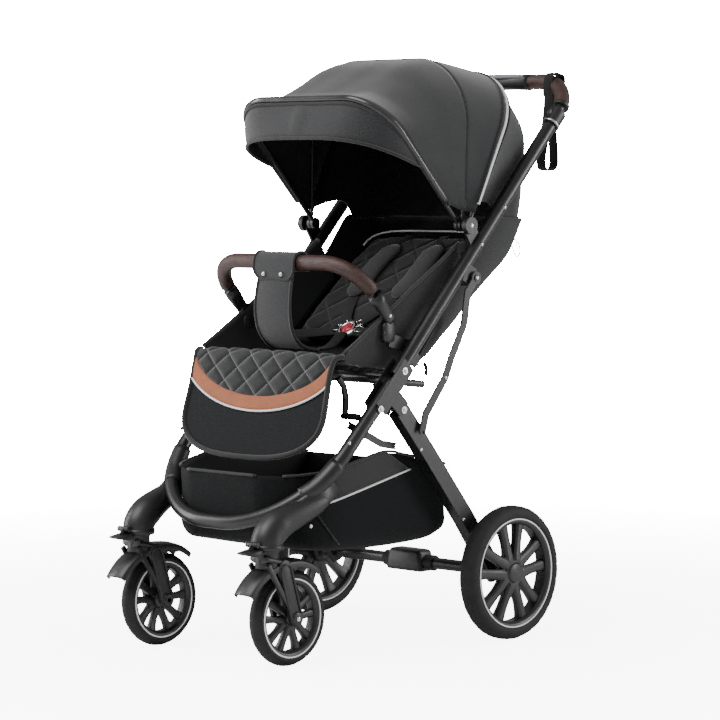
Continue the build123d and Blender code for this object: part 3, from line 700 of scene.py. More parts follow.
def fork(side, sign):
    middle = sign * 167.5
    line, sizes = [], []
    for i in range(25):
        angle = 52 + 104 * i / 24
        far = 100 + 19 * max(0.0, (angle - 95) / 61) ** 1.3
        line.append(mudguard_point(middle, angle, far))
        sizes.append(0.9 + 0.1 * math.sin(math.pi * i / 24))
    ups = [(0, p[1] + 324, p[2] - 86) for p in line]
    guard = sweep(
        "guard", line,
        [(-24.5, -9), (-22.5, -9), (-21.5, -1), (-14, 2), (0, 3), (14, 2), (21.5, -1), (22.5, -9),
         (24.5, -9), (24, 1), (16, 5), (0, 6.4), (-16, 5), (-24, 1)],
        up=ups, sizes=sizes,
    )
    stem = turned(
        "stem", [(-34, 0), (-34, 22), (-22, 21), (-8, 20), (-2, 22.5), (1, 22.5), (1, 0)],
        (middle, -373, 212), axis="Z", steps=36,
    )
    crown = sweep(
        "crown", smooth_line([(middle, -392, 196), (middle, -373, 192), (middle, -345, 184),
                              (middle, -322, 174)], 4),
        ellipse(24, 9, 24),
    )
    parts = [guard, stem, crown]
    for face in (-1, 1):
        near, far = middle + face * 18, middle + face * 25
        inner, outer = min(near, far), max(near, far)
        top, foot = Vector((0, -352, 178)), Vector((0, -324, 86))
        along = (foot - top).normalized()
        across = Vector((0, -along.z, along.y))
        outline = []
        for centre, start in ((foot, 0), (top, 180)):
            for i in range(13):
                turn = math.radians(start + 180 * i / 12)
                outline.append(centre + across * (LEG_HALF * math.cos(turn))
                               + along * (LEG_HALF * math.sin(turn)))
        count = len(outline)
        points = [(inner, p.y, p.z) for p in outline] + [(outer, p.y, p.z) for p in outline]
        faces = [tuple(range(count))[::-1], tuple(range(count, 2 * count))]
        faces += [(i, (i + 1) % count, count + (i + 1) % count, count + i) for i in range(count)]
        leg = make_piece("leg", points, faces)
        outward(leg)
        parts.append(leg)
        rim_line = [(middle + face * 25.5, *((top + foot) / 2).lerp(p, 0.86).yz) for p in outline]
        parts.append(sweep("leg_rim", rim_line, ellipse(2.2, 2.2, 8), closed=True))
        parts.append(sweep(
            "brace",
            [(middle + face * 22, -392, 186), (middle + face * 22.5, -362, 138),
             (middle + face * 23, -330, 92)],
            [(-4.5, -3), (4.5, -3), (4.5, 3), (-4.5, 3)], up=(face, 0, 0),
        ))
        parts.append(turned(
            "boss", [(face * 24, 0), (face * 24, 13), (face * 28, 12), (face * 29, 10),
                     (face * 29, 0)], (middle, -324, 86), steps=28,
        ))
        rivet(
            "front_axle_bolt_" + side + ("_in" if face * sign < 0 else "_out"),
            middle + face * 29, -324, 86, 6, "caster_" + side,
        )
    piece = rounder(joined("caster_fork_" + side + "_moulding", parts), 0.9, 2)
    dress(piece, black_plastic, "caster_" + side, ("caster_fork_" + side,))


def lock_lever(side, sign):
    middle = sign * 167.5
    rows = []
    for y, half, low, high in (
        (-400, 17, 203, 214), (-408, 18.5, 202, 213), (-419, 17.5, 203.5, 211.5),
        (-430, 15, 206, 210.5), (-435.5, 11, 207, 210),
    ):
        rows.append([
            (middle - half, y, low + 1), (middle - half + 3, y, low), (middle, y, low - 0.6),
            (middle + half - 3, y, low), (middle + half, y, low + 1), (middle + half, y, high - 1),
            (middle + half - 3, y, high), (middle, y, high + 0.8), (middle - half + 3, y, high),
            (middle - half, y, high - 1),
        ])
    count = len(rows[0])
    faces = [tuple(range(count)), tuple(range((len(rows) - 1) * count, len(rows) * count))]
    faces += [
        (i * count + k, i * count + (k + 1) % count, (i + 1) * count + (k + 1) % count,
         (i + 1) * count + k) for i in range(len(rows) - 1) for k in range(count)
    ]
    tab = make_piece("tab", [p for row in rows for p in row], faces)
    outward(tab)
    pin = sweep("pin", [(middle - 14, -408, 222), (middle + 14, -408, 222)], ellipse(5, 5, 14))
    web = sweep("web", [(middle, -406, 222), (middle, -412, 210)], ellipse(8, 4, 12))
    piece = rounder(joined("swivel_lever_" + side, [tab, pin, web]), 0.8, 2)
    dress(piece, black_plastic, "swivel_lock_" + side, ("swivel_lock_" + side,))


for side, sign in SIDES:
    elbow(side, sign)
    fork(side, sign)
    lock_lever(side, sign)


# ================================================================ rear axle and brake
# A steel tube between the legs carries a moulded box with the brake, which a foot pedal
# behind it presses; moulded shoes close the lower ends of the legs over the axle.
def moulded_box(name, centre, size, taper, edge):
    """A box whose top is narrower than its foot, with rounded edges."""
    x, y, z = (part / 2 for part in size)
    points = [
        (centre[0] + a * x * (taper if c > 0 else 1), centre[1] + b * y * (taper if c > 0 else 1),
         centre[2] + c * z)
        for c in (-1, 1) for b in (-1, 1) for a in (-1, 1)
    ]
    faces = [(0, 2, 3, 1), (4, 5, 7, 6), (0, 1, 5, 4), (2, 6, 7, 3), (0, 4, 6, 2), (1, 3, 7, 5)]
    piece = make_piece(name, points, faces)
    outward(piece)
    return rounder(piece, edge, 4)


housing = joined("brake_box", [
    moulded_box("box", (0, 174, 128), (94, 44, 42), 0.86, 8),
    moulded_box("ear_a", (-42, 200, 121), (8, 20, 18), 1.0, 2),
    moulded_box("ear_b", (42, 200, 121), (8, 20, 18), 1.0, 2),
    sweep("sleeve", [(-62, 176, 125), (62, 176, 125)], ellipse(15, 15, 28)),
])
dress(housing, black_plastic, "rear_legs", ("brake_housing",))

PEDAL_STATIONS = (
    # y, half width, underside z, top z
    (198, 34, 113, 125), (210, 36, 113, 123), (228, 37, 111, 118.5), (243, 34, 112, 118.5),
    (250, 27, 114, 118.5),
)
pedal = sweep(
    "pedal", [(0, y, (low + high) / 2) for y, half, low, high in PEDAL_STATIONS],
    ribbon(72, 8), up=(0, 0, 1), sizes=[half / 36 for y, half, low, high in PEDAL_STATIONS],
)
ribs = [
    sweep("rib", [(x, 214, 122.5), (x, 244, 118.5)], ellipse(1.6, 1.2, 8))
    for x in (-22, -11, 0, 11, 22)
]
pivot = sweep("pivot", [(-37, 203, 121), (37, 203, 121)], ellipse(7, 7, 18))
pedal = rounder(joined("brake_foot_pedal", [pedal, pivot, *ribs]), 1.0, 2)
dress(pedal, black_plastic, "brake_pedal", ("brake_pedal",))

for side, sign in SIDES:
    shoe = sweep(
        "leg_shoe_" + side,
        [(sign * 206, y, z) for y, z in ((150, 159), (164, 141), (178, 123), (186, 113))],
        [(a * 14.5, b * 18.5) for a, b in ellipse(1, 1, 24)], up=(0, 0.77, 0.64),
    )
    dress(rounder(shoe, 2, 3), black_plastic, "rear_legs")


# ================================================================ push handle
# An aluminium tube telescopes in the push tubes through moulded collars; its bends are wrapped
# in stitched imitation leather, with a moulded console and fold button in the middle.
PUSH_ANGLE = 46.8


def up_bar(distance, x=0.0, off=0.0):
    """A point along the push bar's line, off is above its plane."""
    lean = math.radians(PUSH_ANGLE)
    return (
        x, -78 + distance * math.cos(lean) - off * math.sin(lean),
        511 + distance * math.sin(lean) + off * math.cos(lean),
    )


def hide(name, base, dark, grain=240.0, gloss=0.42):
    """Leather: cell grain, soft colour clouds and a broken sheen."""
    made, tree, surface = shader(name, base, gloss)
    place = coordinates(tree, "Object")
    cells = add_node(
        tree, "ShaderNodeTexVoronoi", {"Vector": place, "Scale": grain * 2.2},
        feature="DISTANCE_TO_EDGE",
    ).outputs[0]
    cloud = noise(tree, place, 35.0, 4.0)
    tree.links.new(ramp(tree, cloud, 0.3, dark, 0.72, base), surface.inputs["Base Color"])
    tree.links.new(
        maths(tree, "ADD", maths(tree, "MULTIPLY", cloud, 0.2), gloss - 0.1),
        surface.inputs["Roughness"],
    )
    height = maths(tree, "MINIMUM", maths(tree, "MULTIPLY", cells, 4.0), 1.0)
    bump(tree, surface, height, 0.00018)
    return made


brown_leather = hide("brown_leather", (0.052, 0.019, 0.014, 1), (0.024, 0.009, 0.007, 1))
finish_node("handle_grip", brown_leather)
finish_node("collars", black_plastic)
finish_node("fold_button", black_plastic)
finish_node("canopy_mounts", black_plastic)

dark_thread = woven("dark_thread", colour(0.01), colour(0.05), 0.4, 1.2, 0.1, "Object")


def stitches(name, line, pitch, width, finish, body):
    """Short raised threads along a line in millimetres."""
    whole = sum((b - a).length for a, b in zip(line, line[1:]))
    count = max(2, int(whole / pitch))
    points = evenly(line, count * 5 + 1)
    parts = [
        sweep("stitch", points[i * 5: i * 5 + 4], ellipse(width, width * 0.7, 6),
              sizes=[0.6, 1, 1, 0.6])
        for i in range(count)
    ]
    return dress(joined(name, parts), finish, body)


for side, sign in SIDES:
    seam = []
    for i in range(22):
        turn = math.radians(3 + 84 * i / 21)
        reach, lift = 92 - 15.1, -2.0
        seam.append(Vector(up_bar(
            637.5 + reach * math.sin(turn), sign * (114 + reach * math.cos(turn)), lift)))
    stitches("grip_seam_" + side, seam, 4.4, 0.7, dark_thread, "handle")
    sleeve = sweep(
        "collar_band_" + side,
        [up_bar(612, sign * 206), up_bar(616, sign * 206)], ellipse(16.9, 16.9, 36),
    )
    dress(sleeve, bright_steel, "push_bar")
    boss = sweep(
        "collar_catch_" + side,
        [up_bar(618, sign * 206, 15), up_bar(628, sign * 206, 18), up_bar(640, sign * 206, 15)],
        ellipse(6.5, 3.2, 16), up=(1, 0, 0),
    )
    dress(boss, black_plastic, "push_bar")
    ferrule = sweep(
        "grip_ferrule_" + side,
        [up_bar(658, sign * 204.5), up_bar(666, sign * 203)], ellipse(15.8, 15.8, 32),
    )
    dress(rounder(ferrule, 1, 2), black_plastic, "handle")

BAR_Y, BAR_Z = up_bar(729.5)[1:]


def loaf(name, sections, sides=28):
    """A closed form through rounded sections: x, centre y and z, half depth and half height."""
    rows = []
    for x, y, z, deep, high in sections:
        row = []
        for i in range(sides):
            a = 2 * math.pi * i / sides
            c, s = math.cos(a), math.sin(a)
            row.append((x, y + deep * math.copysign(abs(c) ** 0.6, c),
                        z + high * math.copysign(abs(s) ** 0.6, s)))
        rows.append(row)
    faces = [tuple(range(sides)), tuple(range((len(rows) - 1) * sides, len(rows) * sides))]
    faces += [
        (i * sides + k, i * sides + (k + 1) % sides, (i + 1) * sides + (k + 1) % sides,
         (i + 1) * sides + k) for i in range(len(rows) - 1) for k in range(sides)
    ]
    piece = make_piece(name, [p for row in rows for p in row], faces)
    outward(piece)
    return piece


grey_plastic = moulded("grey_console_plastic", (0.17, 0.18, 0.19, 1), 0.34)
tub = loaf("console_tub", [
    (-90, BAR_Y, BAR_Z, 15.5, 15), (-84, BAR_Y - 2, BAR_Z - 1, 17, 15.5),
    (-60, BAR_Y - 8, BAR_Z - 2, 22, 13), (-30, BAR_Y - 9.5, BAR_Z - 3, 24.3, 12),
    (0, BAR_Y - 9.5, BAR_Z - 3, 24.4, 12), (30, BAR_Y - 9.5, BAR_Z - 3, 24.3, 12),
    (60, BAR_Y - 8, BAR_Z - 2, 22, 13), (84, BAR_Y - 2, BAR_Z - 1, 17, 15.5),
    (90, BAR_Y, BAR_Z, 15.5, 15),
])
dress(tub, black_plastic, "handle", ("console",))
lid = loaf("console_lid", [
    (-84, BAR_Y - 3, BAR_Z + 8, 10, 3), (-80, BAR_Y - 4, BAR_Z + 10, 18, 5),
    (-55, BAR_Y - 8, BAR_Z + 10.4, 23.5, 5.5), (0, BAR_Y - 9, BAR_Z + 10.6, 25, 5.6),
    (55, BAR_Y - 8, BAR_Z + 10.4, 23.5, 5.5), (80, BAR_Y - 4, BAR_Z + 10, 18, 5),
    (84, BAR_Y - 3, BAR_Z + 8, 10, 3),
])
dress(lid, grey_plastic, "handle")


# ================================================================ wrist strap
# A loop of black polyester webbing round the left grip, sewn to itself under the bar; the
# parent's wrist goes through it.
webbing = woven("black_webbing", colour(0.004), colour(0.012), 1.3, 2.6, 0.1, "Object", 0.3)
STRAP_X = 150
STRAP_ROUTE = (
    (424, 1057), (411, 1058), (402, 1049), (398, 1030), (395, 1000), (389, 960), (381, 920),
    (376, 893), (380, 877), (392, 872), (408, 873), (419, 880), (422, 900), (420, 930),
    (417, 965), (424, 1000), (433, 1025), (438, 1042), (435, 1053),
)
loop = smooth_line([(STRAP_X, y, z) for y, z in STRAP_ROUTE], 6, closed=True)
for i, place in enumerate(loop):
    place.x += 5 * math.sin(2 * math.pi * i / len(loop)) * (place.z < 1020)
wrist_strap = sweep("wrist_webbing", loop, [(b, a) for a, b in ribbon(22, 2)], up=(1, 0, 0),
                    closed=True)
dress(wrist_strap, webbing, "handle", ("wrist_strap",))


# ================================================================ bumper bar
# A padded steel tube wrapped in brown leather that turns on flat black ends; the ends plug
# into sockets on the push bar, and a fabric panel hangs from its middle to the seat.
BUMPER_LEAN = math.radians(132.2)


def on_bumper(x, reach, off=0.0):
    return (
        x, -86.5 + reach * math.cos(BUMPER_LEAN) - off * math.sin(BUMPER_LEAN),
        609.6 + reach * math.sin(BUMPER_LEAN) + off * math.cos(BUMPER_LEAN),
    )


def arch(half, reach, corner, foot, count, place):
    """Equally spaced points along a round-shouldered arch, from the left foot to the right."""
    line = [(half, foot), (half, reach - corner)]
    for i in range(1, 24):
        turn = math.radians(90 * i / 24)
        line.append((half - corner * (1 - math.cos(turn)), reach - corner * (1 - math.sin(turn))))
    line.append((half - corner, reach))
    line += [(-x, s) for x, s in reversed(line)]
    return [place(p.x, p.y) for p in evenly([(x, s, 0) for x, s in line], count)]


bumper_line = arch(188, 129, 78, 17, 61, on_bumper)
wrap = sweep("bumper_leather", bumper_line[5:-5], ellipse(14, 14, 28))
dress(wrap, brown_leather, "bumper_bar", ("bumper_bar",))
for side, sign in SIDES:
    end = sweep(
        "bumper_end_" + side,
        [on_bumper(sign * 188, -13), on_bumper(sign * 188, -8), on_bumper(sign * 188, 14),
         on_bumper(sign * 188, 34), on_bumper(sign * 187.6, 52)],
        ellipse(1, 1, 24), up=(sign, 0, 0), sizes=[10, 12.5, 13.5, 14, 14.2],
    )
    for vertex in end.data.vertices:
        low = max(0.0, min(1.0, (40 - (Vector((0, *(vertex.co / MM).yz))
                                       - Vector(on_bumper(0, 0))).length) / 34))
        vertex.co.x += (sign * 188.4 * MM - vertex.co.x) * 0.68 * low
    dress(end, black_plastic, "bumper_bar")
    socket_box = loaf("bumper_socket_" + side, [
        (sign * 173, -84.5, 581, 10, 17), (sign * 174.5, -84.5, 581, 14, 19),
        (sign * 189, -84.5, 580, 15, 20), (sign * 191, -84.5, 580, 12, 17),
    ])
    dress(socket_box, black_plastic, "push_bar")
finish_node("bumper_ends", black_plastic)


# ================================================================ canopy
# One curved hood of charcoal heather polyester over a black lining, stretched on three sprung
# bows, with a seam over the middle bow, white reflective piping over the rear bow and a
# dark bound front edge with a short visor.
CANOPY_PIVOT = (104, 770)
heather_dark, heather_light = (0.0045, 0.0047, 0.0053, 1), (0.034, 0.0345, 0.0365, 1)
heather = woven("charcoal_heather", heather_dark, heather_light, 0.9, 3.4, 0.35)
lining = woven("black_lining", colour(0.003), colour(0.008), 0.8, 3.0, 0.15)
binding = woven("dark_binding", colour(0.009), colour(0.025), 0.7, 2.0, 0.25, "Object")
reflective, tree, surface = shader("white_reflective", colour(0.72), 0.42)
place = coordinates(tree, "Object")
tree.links.new(
    ramp(tree, noise(tree, place, 700.0), 0.3, colour(0.6), 0.7, colour(0.8)),
    surface.inputs["Base Color"],
)
bump(tree, surface, noise(tree, place, 1500.0), 0.0001)


def fan_place(angle):
    lean = math.radians(angle)
    return lambda x, reach: Vector((
        x, CANOPY_PIVOT[0] + reach * math.cos(lean), CANOPY_PIVOT[1] + reach * math.sin(lean)
    ))


def eased(table, at):
    """Catmull-Rom values between rows of (position, values...)."""
    rows = sorted(table)
    i = max(k for k in range(len(rows) - 1) if rows[k][0] <= at or k == 0)
    b, c = rows[i], rows[i + 1]
    a = rows[i - 1] if i else b
    d = rows[i + 2] if i + 2 < len(rows) else c
    t = (at - b[0]) / (c[0] - b[0])
    made = []
    for k in range(1, len(b)):
        slope_b = (c[k] - a[k]) / (c[0] - a[0]) * (c[0] - b[0])
        slope_c = (d[k] - b[k]) / (d[0] - b[0]) * (c[0] - b[0])
        made.append(
            b[k] * (2 * t ** 3 - 3 * t * t + 1) + slope_b * (t ** 3 - 2 * t * t + t)
            + c[k] * (3 * t * t - 2 * t ** 3) + slope_c * (t ** 3 - t * t)
        )
    return made


FRONT_RIBS = (
    # angle, half width, reach, shoulder radius, foot
    (89, 203, 309, 124, 26), (100, 201, 301, 122, 28), (111, 198.5, 288.5, 113, 32),
    (122, 196.5, 288, 101, 40), (128, 195, 301, 94, 46), (132.5, 194.5, 319.5, 90, 50),
)
MIDDLE_RIBS = (
    (64, 216.5, 315, 118, 26), (76, 208.5, 308, 121, 26), (89, 203, 309, 124, 26),
)
REAR_RIBS = (
    (4, 186, 192, 40, 105), (14, 186.5, 207, 44, 98), (25, 187, 229, 52, 92),
    (34, 188, 259, 60, 78), (42, 190, 288, 72, 62), (52, 201, 303, 100, 44),
    (63, 215.5, 313.5, 118, 28),
)


def surface_of(name, rows):
    """A sheet through rows of points, with its weave laid out in metres from its middle."""
    count = len(rows[0])
    down = [0.0]
    for a, b in zip(rows, rows[1:]):
        down.append(down[-1] + (Vector(b[count // 2]) - Vector(a[count // 2])).length * MM)
    marks = []
    for row in rows:
        across = [0.0]
        for a, b in zip(row, row[1:]):
            across.append(across[-1] + (Vector(b) - Vector(a)).length * MM)
        marks.append([part - across[-1] / 2 for part in across])
    faces, corners = [], []
    for i in range(len(rows) - 1):
        for k in range(count - 1):
            faces.append((i * count + k, i * count + k + 1, (i + 1) * count + k + 1,
                          (i + 1) * count + k))
            corners.append([
                (marks[i][k], down[i]), (marks[i][k + 1], down[i]),
                (marks[i + 1][k + 1], down[i + 1]), (marks[i + 1][k], down[i + 1]),
            ])
    return make_piece(name, [p for row in rows for p in row], faces, corners)


def face_away(piece, inside):
    """Turn a sheet so that its front faces away from a point in millimetres."""
    work = bmesh.new()
    work.from_mesh(piece.data)
    middle = Vector(inside) * MM
    votes = sum(
        1 if (face.calc_center_median() - middle).dot(face.normal) > 0 else -1 for face in work.faces
    )
    if votes < 0:
        bmesh.ops.reverse_faces(work, faces=work.faces)
    work.to_mesh(piece.data)
    work.free()


def cloth_sheet(name, rows, inside, outer, inner, thickness=1.6):
    """A lined sheet of cloth through rows of points: outer finish outside, inner inside."""
    piece = surface_of(name, rows)
    face_away(piece, inside)
    piece.data.materials.append(outer)
    piece.data.materials.append(inner)
    wall = piece.modifiers.new("wall", "SOLIDIFY")
    wall.thickness = thickness * MM
    wall.offset = -1
    wall.material_offset = 1
    wall.material_offset_rim = 0
    return settle(piece)


def sheet_piece(name, rows, inside, outer, inner, replaces, thickness=1.6):
    piece = cloth_sheet(name, rows, inside, outer, inner, thickness)
    if replaces:
        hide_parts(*replaces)
    return piece


def panel_rows(table, start, end, steps, columns=72, wrinkle=0.0, seed=0.0):
    """Arched rows between two angles, with slight slack between the bows."""
    rows = []
    for i in range(steps + 1):
        share = i / steps
        angle = start + (end - start) * share
        half, reach, corner, foot = eased(table, angle)
        row = arch(half, reach, corner, foot, columns, fan_place(angle))
        slack = wrinkle * math.sin(math.pi * share)
        centre = fan_place(angle)(0, reach * 0.5)
        for k, p in enumerate(row):
            wave = math.sin(k * 0.37 + seed) * 0.6 + math.sin(k * 0.83 + 2 * seed + share * 4) * 0.4
            out = (p - centre).normalized()
            row[k] = p + out * (slack * wave)
        rows.append(row)
    return rows


INSIDE = (0, 80, 850)
front_rows = panel_rows(FRONT_RIBS, 132.5, 89, 26, wrinkle=1.3, seed=0.4)
middle_rows = panel_rows(MIDDLE_RIBS, 89, 64, 16, wrinkle=0.9, seed=1.1)
rear_rows = panel_rows(REAR_RIBS, 62.8, 4, 34, wrinkle=1.6, seed=2.3)
front_panel = sheet_piece("canopy_front_panel", front_rows, INSIDE, heather, lining,
                          ("canopy_front",))
middle_panel = sheet_piece("canopy_middle_panel", middle_rows, INSIDE, heather, lining,
                           ("canopy_middle",))
rear_panel = sheet_piece("canopy_rear_panel", rear_rows, INSIDE, heather, lining,
                         ("canopy_rear",))


def bow_line(angle, half, reach, corner, foot, count=73):
    return arch(half, reach, corner, foot, count, fan_place(angle))


def edge_tube(name, line, radius, finish, body, flat=1.0, closed=False):
    return dress(
        sweep(name, line, ellipse(radius, radius * flat, 10), closed=closed), finish, body
    )


bow_satin = tube_finish("satin_bow_sleeve", colour(0.03), 0.2)
edge_tube("canopy_front_sleeve", bow_line(133.6, 192.5, 319.5, 89, 60), 6.2, bow_satin,
          "front_bow")
edge_tube("canopy_front_binding", bow_line(135.2, 192, 316.5, 89, 98), 2.6, binding,
          "front_bow")
edge_tube("canopy_middle_seam", bow_line(89, 203.6, 309.6, 124, 48), 1.2, binding,
          "mid_bow")
edge_tube("canopy_rear_piping", bow_line(63.2, 217.2, 315.6, 118, 44), 3.0, reflective,
          "push_bar")
for name, angle, grow in (("fore", 65.6, 0.4), ("aft", 60.6, -1.0)):
    edge_tube("canopy_rear_binding_" + name, bow_line(angle, 216.8 + grow, 315 + grow, 118, 46),
              2.4, binding, "push_bar", 0.7)

VISOR_FOOT = 152
visor_top = bow_line(134.2, 193.5, 317, 89, VISOR_FOOT, 65)
visor_low = []
for i in range(65):
    turn = math.pi * i / 64
    c, s = math.cos(turn), math.sin(turn)
    x = 191 * math.copysign(abs(c) ** 0.62, c)
    deep = abs(s) ** 0.72
    visor_low.append(Vector((x, visor_top[0].y - 2 - (138 + visor_top[0].y) * deep,
                             visor_top[0].z + (930 - visor_top[0].z) * abs(s) ** 0.8)))
visor_low = evenly(visor_low, 65)
visor_low[0], visor_low[-1] = visor_top[0].copy(), visor_top[-1].copy()
visor_rows = []
for j in range(9):
    t = j / 8
    row = []
    for a, b in zip(visor_top, visor_low):
        p = a.lerp(b, t)
        gap = (b - a).length
        out = Vector((p.x * 0.25, -1, 0)).normalized()
        row.append(p + out * (gap * 0.07 * math.sin(math.pi * t)))
    visor_rows.append(row)
visor = sheet_piece("canopy_visor", visor_rows, (0, 40, 900), heather, lining,
                    ("visor",))
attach(visor, "front_bow")
edge_tube("visor_binding", visor_low, 3.2, binding, "front_bow")


# ================================================================ seat shell
# The hammock-shaped back of the seat: heather polyester sewn to a board, with side walls that
# rise to the push bars and join the canopy's rear panel at a bound seam.
SHELL_FRONT = smooth_line(
    [(186, -12, 523), (187, 20, 562), (188, 60, 612), (188, 103, 668), (188, 140, 716),
     (187.5, 168, 752), (187, 186, 776), (186, 200, 786)], 4,
)
SHELL_BACK = smooth_line(
    [(184, -9, 516), (185, 22, 535), (186, 62, 566), (186.5, 98, 595), (187, 140, 634),
     (187, 196, 676), (187, 247, 716), (186, 288, 781)], 4,
)
SHELL_CORNER = 9
shell_front = evenly(SHELL_FRONT, 30)
shell_back = evenly(SHELL_BACK, 30)
shell_rows = []
for i, (front, back) in enumerate(zip(shell_front, shell_back)):
    share = i / 29
    depth = (back - front).length
    corner = min(SHELL_CORNER, depth * 0.3)
    half_row = []
    for k in range(10):
        p = front.lerp(back, k / 10 * (1 - corner / max(depth, 1)))
        p.x += 2.5 * math.sin(math.pi * k / 10) * min(1, depth / 60)
        half_row.append(p)
    toward = (back - front).normalized()
    for k in range(7):
        turn = math.radians(90 * k / 6)
        p = back - toward * (corner * (1 - math.sin(turn)))
        p.x -= corner * (1 - math.cos(turn))
        half_row.append(p)
    bulge = 7 * math.sin(math.pi * min(1, share * 1.1)) * toward
    for k in range(1, 13):
        t = k / 12
        p = back + bulge * math.sin(math.pi / 2 * t) ** 1.5
        p.x = (back.x - corner) * (1 - t)
        half_row.append(p)
    mirrored = [Vector((-p.x, p.y, p.z)) for p in reversed(half_row[:-1])]
    shell_rows.append(half_row + mirrored)
shell = sheet_piece("seat_back_shell", shell_rows, (0, 60, 700), heather, lining,
                    ("back_shell",))


def with_back(piece):
    """Cloth between the push bar and the reclining back."""
    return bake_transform(piece)


with_back(shell)
with_back(rear_panel)
SEAM_COLUMN = 13                # the middle of the shell's rounded corner
seams = {
    "shell_top_seam": (rear_rows[-1], 2.2),
    "shell_left_seam": ([row[SEAM_COLUMN] for row in shell_rows[2:]], 1.2),
    "shell_right_seam": ([row[-1 - SEAM_COLUMN] for row in shell_rows[2:]], 1.2),
    "shell_left_edge": (shell_front, 2.2),
    "shell_right_edge": ([Vector((-p.x, p.y, p.z)) for p in shell_front], 2.2),
}
for name, (line, radius) in seams.items():
    seam = sweep(name, line, ellipse(radius, radius, 8))
    dress(seam, binding)
    with_back(seam)

# A dangling zip tab behind the canopy and two short strap ends at the side seam.
tab = sweep(
    "canopy_pull_tab",
    smooth_line([(88, 243, 1056), (92, 262, 1052), (98, 284, 1038), (104, 306, 1016)], 5),
    ribbon(13, 2.4), up=(0, 0.5, 0.86),
)
dress(tab, webbing, "push_bar")
tab_edge = sweep(
    "canopy_pull_piping",
    smooth_line([(82, 242, 1059), (86, 258, 1057), (90, 274, 1048), (95, 288, 1036)], 5),
    ellipse(1.3, 1.3, 8),
)
dress(tab_edge, reflective, "push_bar")
for side, sign in SIDES:
    tail = sweep(
        "shell_strap_tail_" + side,
        smooth_line([(sign * 183, 14, 520), (sign * 186, 17, 509), (sign * 187, 14, 497)], 5),
        ribbon(9, 1.6), up=(sign, 0, 0),
    )
    dress(tail, webbing, "backrest")


# ================================================================ side wings
# Padded black side panels from the seat's front corner up to the canopy, sewn over a foam
# sheet, with a bound top edge.
WING_TOP = evenly(smooth_line(
    [(183, -196, 545), (182, -150, 573), (181, -79, 617), (181, -10, 662), (182, 60, 706),
     (183, 108, 738)], 6), 34)
WING_LOW = evenly(smooth_line(
    [(170, -192, 528), (169, -140, 521), (168.5, -80, 515), (168, -34, 512), (168, 28, 566),
     (169, 84, 616), (170, 136, 662)], 6), 34)
wing_finish = woven("wing_cloth", colour(0.006), colour(0.014), 0.8, 3.0, 0.3)


def wing(side, sign):
    rows = []
    for i, (top, low) in enumerate(zip(WING_TOP, WING_LOW)):
        row = []
        for k in range(13):
            t = k / 12
            p = low.lerp(top, t)
            p.x += 2.0 * math.sin(math.pi * t) * math.sin(math.pi * i / 33)
            p.x *= sign
            row.append(p)
        rows.append(row)
    piece = cloth_sheet("side_wing_" + side, rows, (0, -60, 600), wing_finish, lining, 5)
    edge = [Vector((sign * (p.x + 0.5), p.y, p.z)) for p in WING_TOP]
    hem = sweep("side_wing_binding_" + side, edge, ellipse(3.4, 3.4, 10))
    dress(hem, binding)
    for part in (piece, hem):
        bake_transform(part)
    return piece


wings = [wing(side, sign) for side, sign in SIDES]
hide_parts("side_wings")


# ================================================================ seat and back pads
# Foam pads in black polyester, quilted in diamonds with pale thread; the back pad's top edge
# carries a white reflective piping. Both swell under cloth pressure, then take their quilting.
def quilted(name, dark, light, thread, pitch, tall=1.0, kind="UV"):
    """Quilted cloth: diamonds of dashed stitching on a woven ground; pitch in metres."""
    made, tree, surface = shader(
        name, dark, 0.85, Sheen_Weight=0.25, Sheen_Roughness=0.5, Specular_IOR_Level=0.25
    )
    place = coordinates(tree, kind)
    parts = add_node(tree, "ShaderNodeSeparateXYZ", {0: place})
    u = maths(tree, "DIVIDE", parts.outputs[0], pitch)
    v = maths(tree, "DIVIDE", parts.outputs[1], pitch * tall)
    first, second = maths(tree, "ADD", u, v), maths(tree, "SUBTRACT", u, v)
    masks, creases = [], []
    for line, other in ((first, second), (second, first)):
        off = maths(tree, "ABSOLUTE", maths(tree, "SUBTRACT", maths(tree, "FRACT", line), 0.5))
        close = maths(tree, "GREATER_THAN", off, 0.5 - 0.0011 / pitch)
        dash = maths(tree, "FRACT", maths(tree, "MULTIPLY", other, pitch / 0.0052))
        masks.append(maths(tree, "MULTIPLY", close, maths(tree, "LESS_THAN", dash, 0.72)))
        creases.append(maths(tree, "POWER", maths(tree, "MULTIPLY", off, 2.0), 6.0))
    stitch = maths(tree, "MAXIMUM", masks[0], masks[1])
    crease = maths(tree, "MAXIMUM", creases[0], creases[1])
    warp = noise(tree, place, 1.0, 2.0, (300, 1100, 1100))
    weft = noise(tree, place, 1.0, 2.0, (1100, 300, 300))
    both = maths(tree, "MULTIPLY", maths(tree, "ADD", warp, weft), 0.5)
    ground = ramp(tree, both, 0.4, dark, 0.6, light)
    mixed = add_node(tree, "ShaderNodeMix", {0: stitch, 6: ground, 7: thread}, data_type="RGBA")
    tree.links.new(mixed.outputs[2], surface.inputs["Base Color"])
    height = maths(tree, "SUBTRACT", maths(tree, "MULTIPLY", both, 0.12), crease)
    bump(tree, surface, height, 0.0016)
    return made


def leaning(pivot, angle):
    """A place on a leaning plane from x, distance along it and height off it."""
    lean = math.radians(angle)
    return lambda x, along, off: Vector((
        x, pivot[0] + along * math.cos(lean) - off * math.sin(lean),
        pivot[1] + along * math.sin(lean) + off * math.cos(lean),
    ))


on_seat = leaning((-205, 518), -6.7)
on_back = leaning((-9, 520), 39.5)


